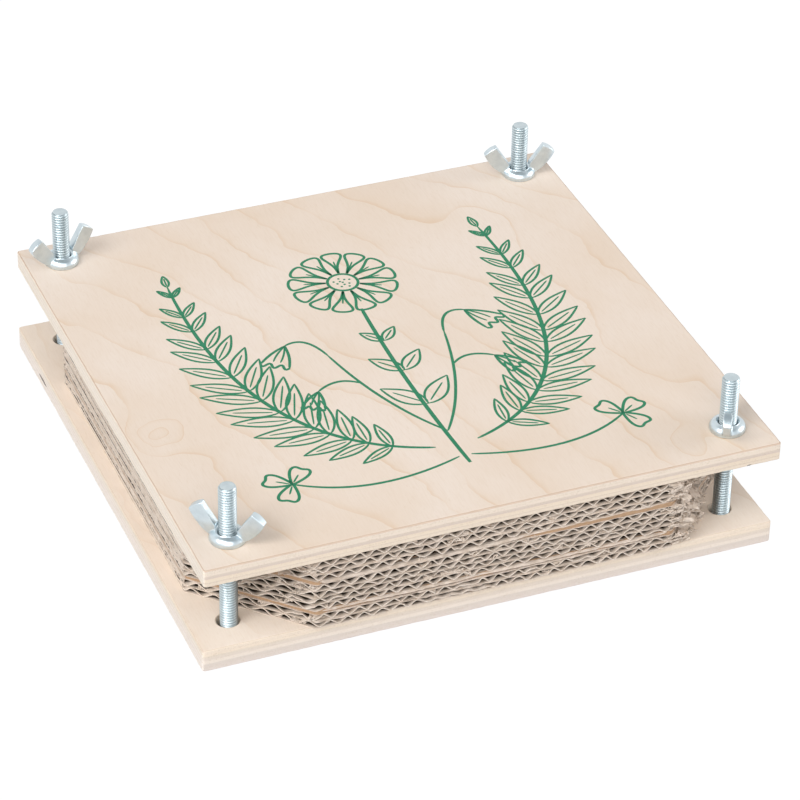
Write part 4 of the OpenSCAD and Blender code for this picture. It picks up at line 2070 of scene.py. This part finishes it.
@dataclass
class Studio:
    """White table, three wide lamps, white surroundings with a grey room, and the camera.

    The grey room lies over the camera, and the zinc reflects it. The camera's values are
    those of the view that shows the press as photographed: its direction as azimuth,
    elevation and roll, its distance from the aim, and its lens.
    """

    azimuth: float = -22.2415
    elevation: float = 34.3548
    roll: float = 1.0637
    distance: float = 1246.76
    aim: Triple = (1.139, -6.838, 20.0)
    lens: float = 164.336
    sensor: float = 36.0
    shift: Pair = (0.00794, 0.00337)
    floor_half: float = 4000.0
    floor_drop: float = 0.2
    clip: Pair = (10.0, 20000.0)
    ambient: float = 0.38
    daylight: str = "#FBFCFF"
    room: str = "#A3ABAF"
    room_towards: Pair = (-22.0, 64.0)
    room_edge: Pair = (0.45, 0.9)
    table: str = "#BEBEBE"
    table_shine: float = 1.11
    table_glow: float = 0.88
    lamps: tuple[Lamp, ...] = (
        Lamp("key", -69.0, 42.0, 5000.0, 2600.0, 143.0),
        Lamp("fill", -18.0, 31.0, 5000.0, 4000.0, 116.0),
        Lamp("side", 74.0, 20.0, 5000.0, 2600.0, 74.0),
    )

    def towards(self, azimuth: float, elevation: float) -> Vector:
        """Direction from the press, with azimuth 0 in front and 90 at the right."""
        a, e = math.radians(azimuth), math.radians(elevation)
        return Vector((math.sin(a) * math.cos(e), -math.cos(a) * math.cos(e), math.sin(e)))

    def add_camera(self) -> None:
        """Places the camera: it looks back along its own Z axis at the aim."""
        back = self.towards(self.azimuth, self.elevation)
        a, r = math.radians(self.azimuth), math.radians(self.roll)
        level = Vector((math.cos(a), math.sin(a), 0))
        upright = back.cross(level)
        right = math.cos(r) * level + math.sin(r) * upright
        up = math.cos(r) * upright - math.sin(r) * level
        data = bpy.data.cameras.new("studio_camera")
        data.sensor_width = self.sensor
        data.lens = self.lens
        data.shift_x, data.shift_y = self.shift
        data.clip_start, data.clip_end = self.clip[0] * MM, self.clip[1] * MM
        camera = bpy.data.objects.new("studio_camera", data)
        turn = Matrix((right, up, back)).transposed().to_4x4()
        spot = (Vector(self.aim) + back * self.distance) * MM
        camera.matrix_world = Matrix.Translation(spot) @ turn
        bpy.context.scene.collection.objects.link(camera)
        bpy.context.scene.camera = camera

    def seen_directly(self, tree: Tree) -> Socket:
        """Tells rays that show the background as it is from rays that carry light.

        Args:
            tree: The node tree that asks.

        Returns:
            1 for camera, glossy and transmission rays, and 0 for the others.
        """
        path = add_node(tree, "ShaderNodeLightPath").outputs
        shiny = add_node(
            tree,
            "ShaderNodeMath",
            {0: path["Is Glossy Ray"], 1: path["Is Transmission Ray"]},
            operation="MAXIMUM",
        )
        return add_node(
            tree, "ShaderNodeMath", {0: path["Is Camera Ray"], 1: shiny}, operation="MAXIMUM"
        ).outputs[0]

    def add_world(self) -> None:
        """Makes a world that lights softly, and looks white up to the room over the camera."""
        world = bpy.data.worlds.new("white_studio")
        world.use_nodes = True
        tree = world.node_tree
        tree.nodes.clear()
        light = add_node(tree, "ShaderNodeBackground", {0: self.daylight, 1: self.ambient})
        direction = add_node(tree, "ShaderNodeTexCoord").outputs["Generated"]
        facing = add_node(
            tree,
            "ShaderNodeVectorMath",
            {0: direction, 1: self.towards(*self.room_towards)},
            operation="DOT_PRODUCT",
        ).outputs["Value"]
        share = add_node(
            tree, "ShaderNodeMapRange", {0: facing, 1: self.room_edge[0], 2: self.room_edge[1]}
        )
        tone = add_node(tree, "ShaderNodeMix", {0: share, 6: "#FFFFFF", 7: self.room}, data_type="RGBA")
        white = add_node(tree, "ShaderNodeBackground", {0: tone.outputs[2], 1: 1.0})
        both = add_node(tree, "ShaderNodeMixShader", {0: self.seen_directly(tree), 1: light, 2: white})
        add_node(tree, "ShaderNodeOutputWorld", {0: both})
        bpy.context.scene.world = world

    def add_floor(self) -> None:
        """Lays a white table top just under the press, which keeps part of its shadow."""
        half, drop = self.floor_half, -self.floor_drop
        mesh = bpy.data.meshes.new("table_top")
        corners = np.array([(x * half, y * half, drop) for x, y in SQUARE])
        mesh.from_pydata(corners * MM, [], [(0, 1, 2, 3)])
        made = bpy.data.materials.new("white_table")
        made.use_nodes = True
        tree = made.node_tree
        tree.nodes.clear()
        matt = add_node(tree, "ShaderNodeBsdfDiffuse", {0: self.table})
        glow = add_node(tree, "ShaderNodeEmission", {0: "#FFFFFF", 1: self.table_shine})
        share = add_node(
            tree,
            "ShaderNodeMath",
            {0: self.seen_directly(tree), 1: self.table_glow},
            operation="MULTIPLY",
        )
        both = add_node(tree, "ShaderNodeMixShader", {0: share, 1: matt, 2: glow})
        add_node(tree, "ShaderNodeOutputMaterial", {0: both})
        mesh.materials.append(made)
        floor = bpy.data.objects.new("table_top", mesh)
        bpy.context.scene.collection.objects.link(floor)

    def add_lamps(self) -> None:
        """Hangs the soft lamps, each turned to the press."""
        for lamp in self.lamps:
            data = bpy.data.lights.new(lamp.name, "AREA")
            data.shape = "SQUARE"
            data.size = lamp.side * MM
            data.energy = lamp.watts
            item = bpy.data.objects.new(lamp.name, data)
            away = self.towards(lamp.azimuth, lamp.elevation)
            spot = Vector(self.aim) + away * lamp.distance
            item.matrix_world = Matrix.Translation(spot * MM) @ (
                away.to_track_quat("Z", "Y").to_matrix().to_4x4()
            )
            bpy.context.scene.collection.objects.link(item)

    def build(self) -> None:
        """Sets up everything round the press."""
        bpy.context.scene.view_settings.view_transform = "Standard"
        self.add_camera()
        self.add_world()
        self.add_floor()
        self.add_lamps()


def main() -> None:
    """Builds the press's pieces and the studio."""
    logging.basicConfig(level=logging.INFO, format="%(message)s")
    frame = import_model()
    Studio().build()
    Board("bottom_board", "root", BOTTOM_VENEER, BOTTOM_EDGE, recess_depth=2.0, seed=21).build()
    Board("top_board", "top_board", TOP_VENEER, TOP_EDGE).build()
    Stack(frame["nodes"]).build()
    for corner in Corner:
        Bolt(corner).build()
        WingNut(corner, frame["nodes"][f"wing_nut_{corner.value}"]).build()
    Print().build()


if __name__ == "__main__":
    main()
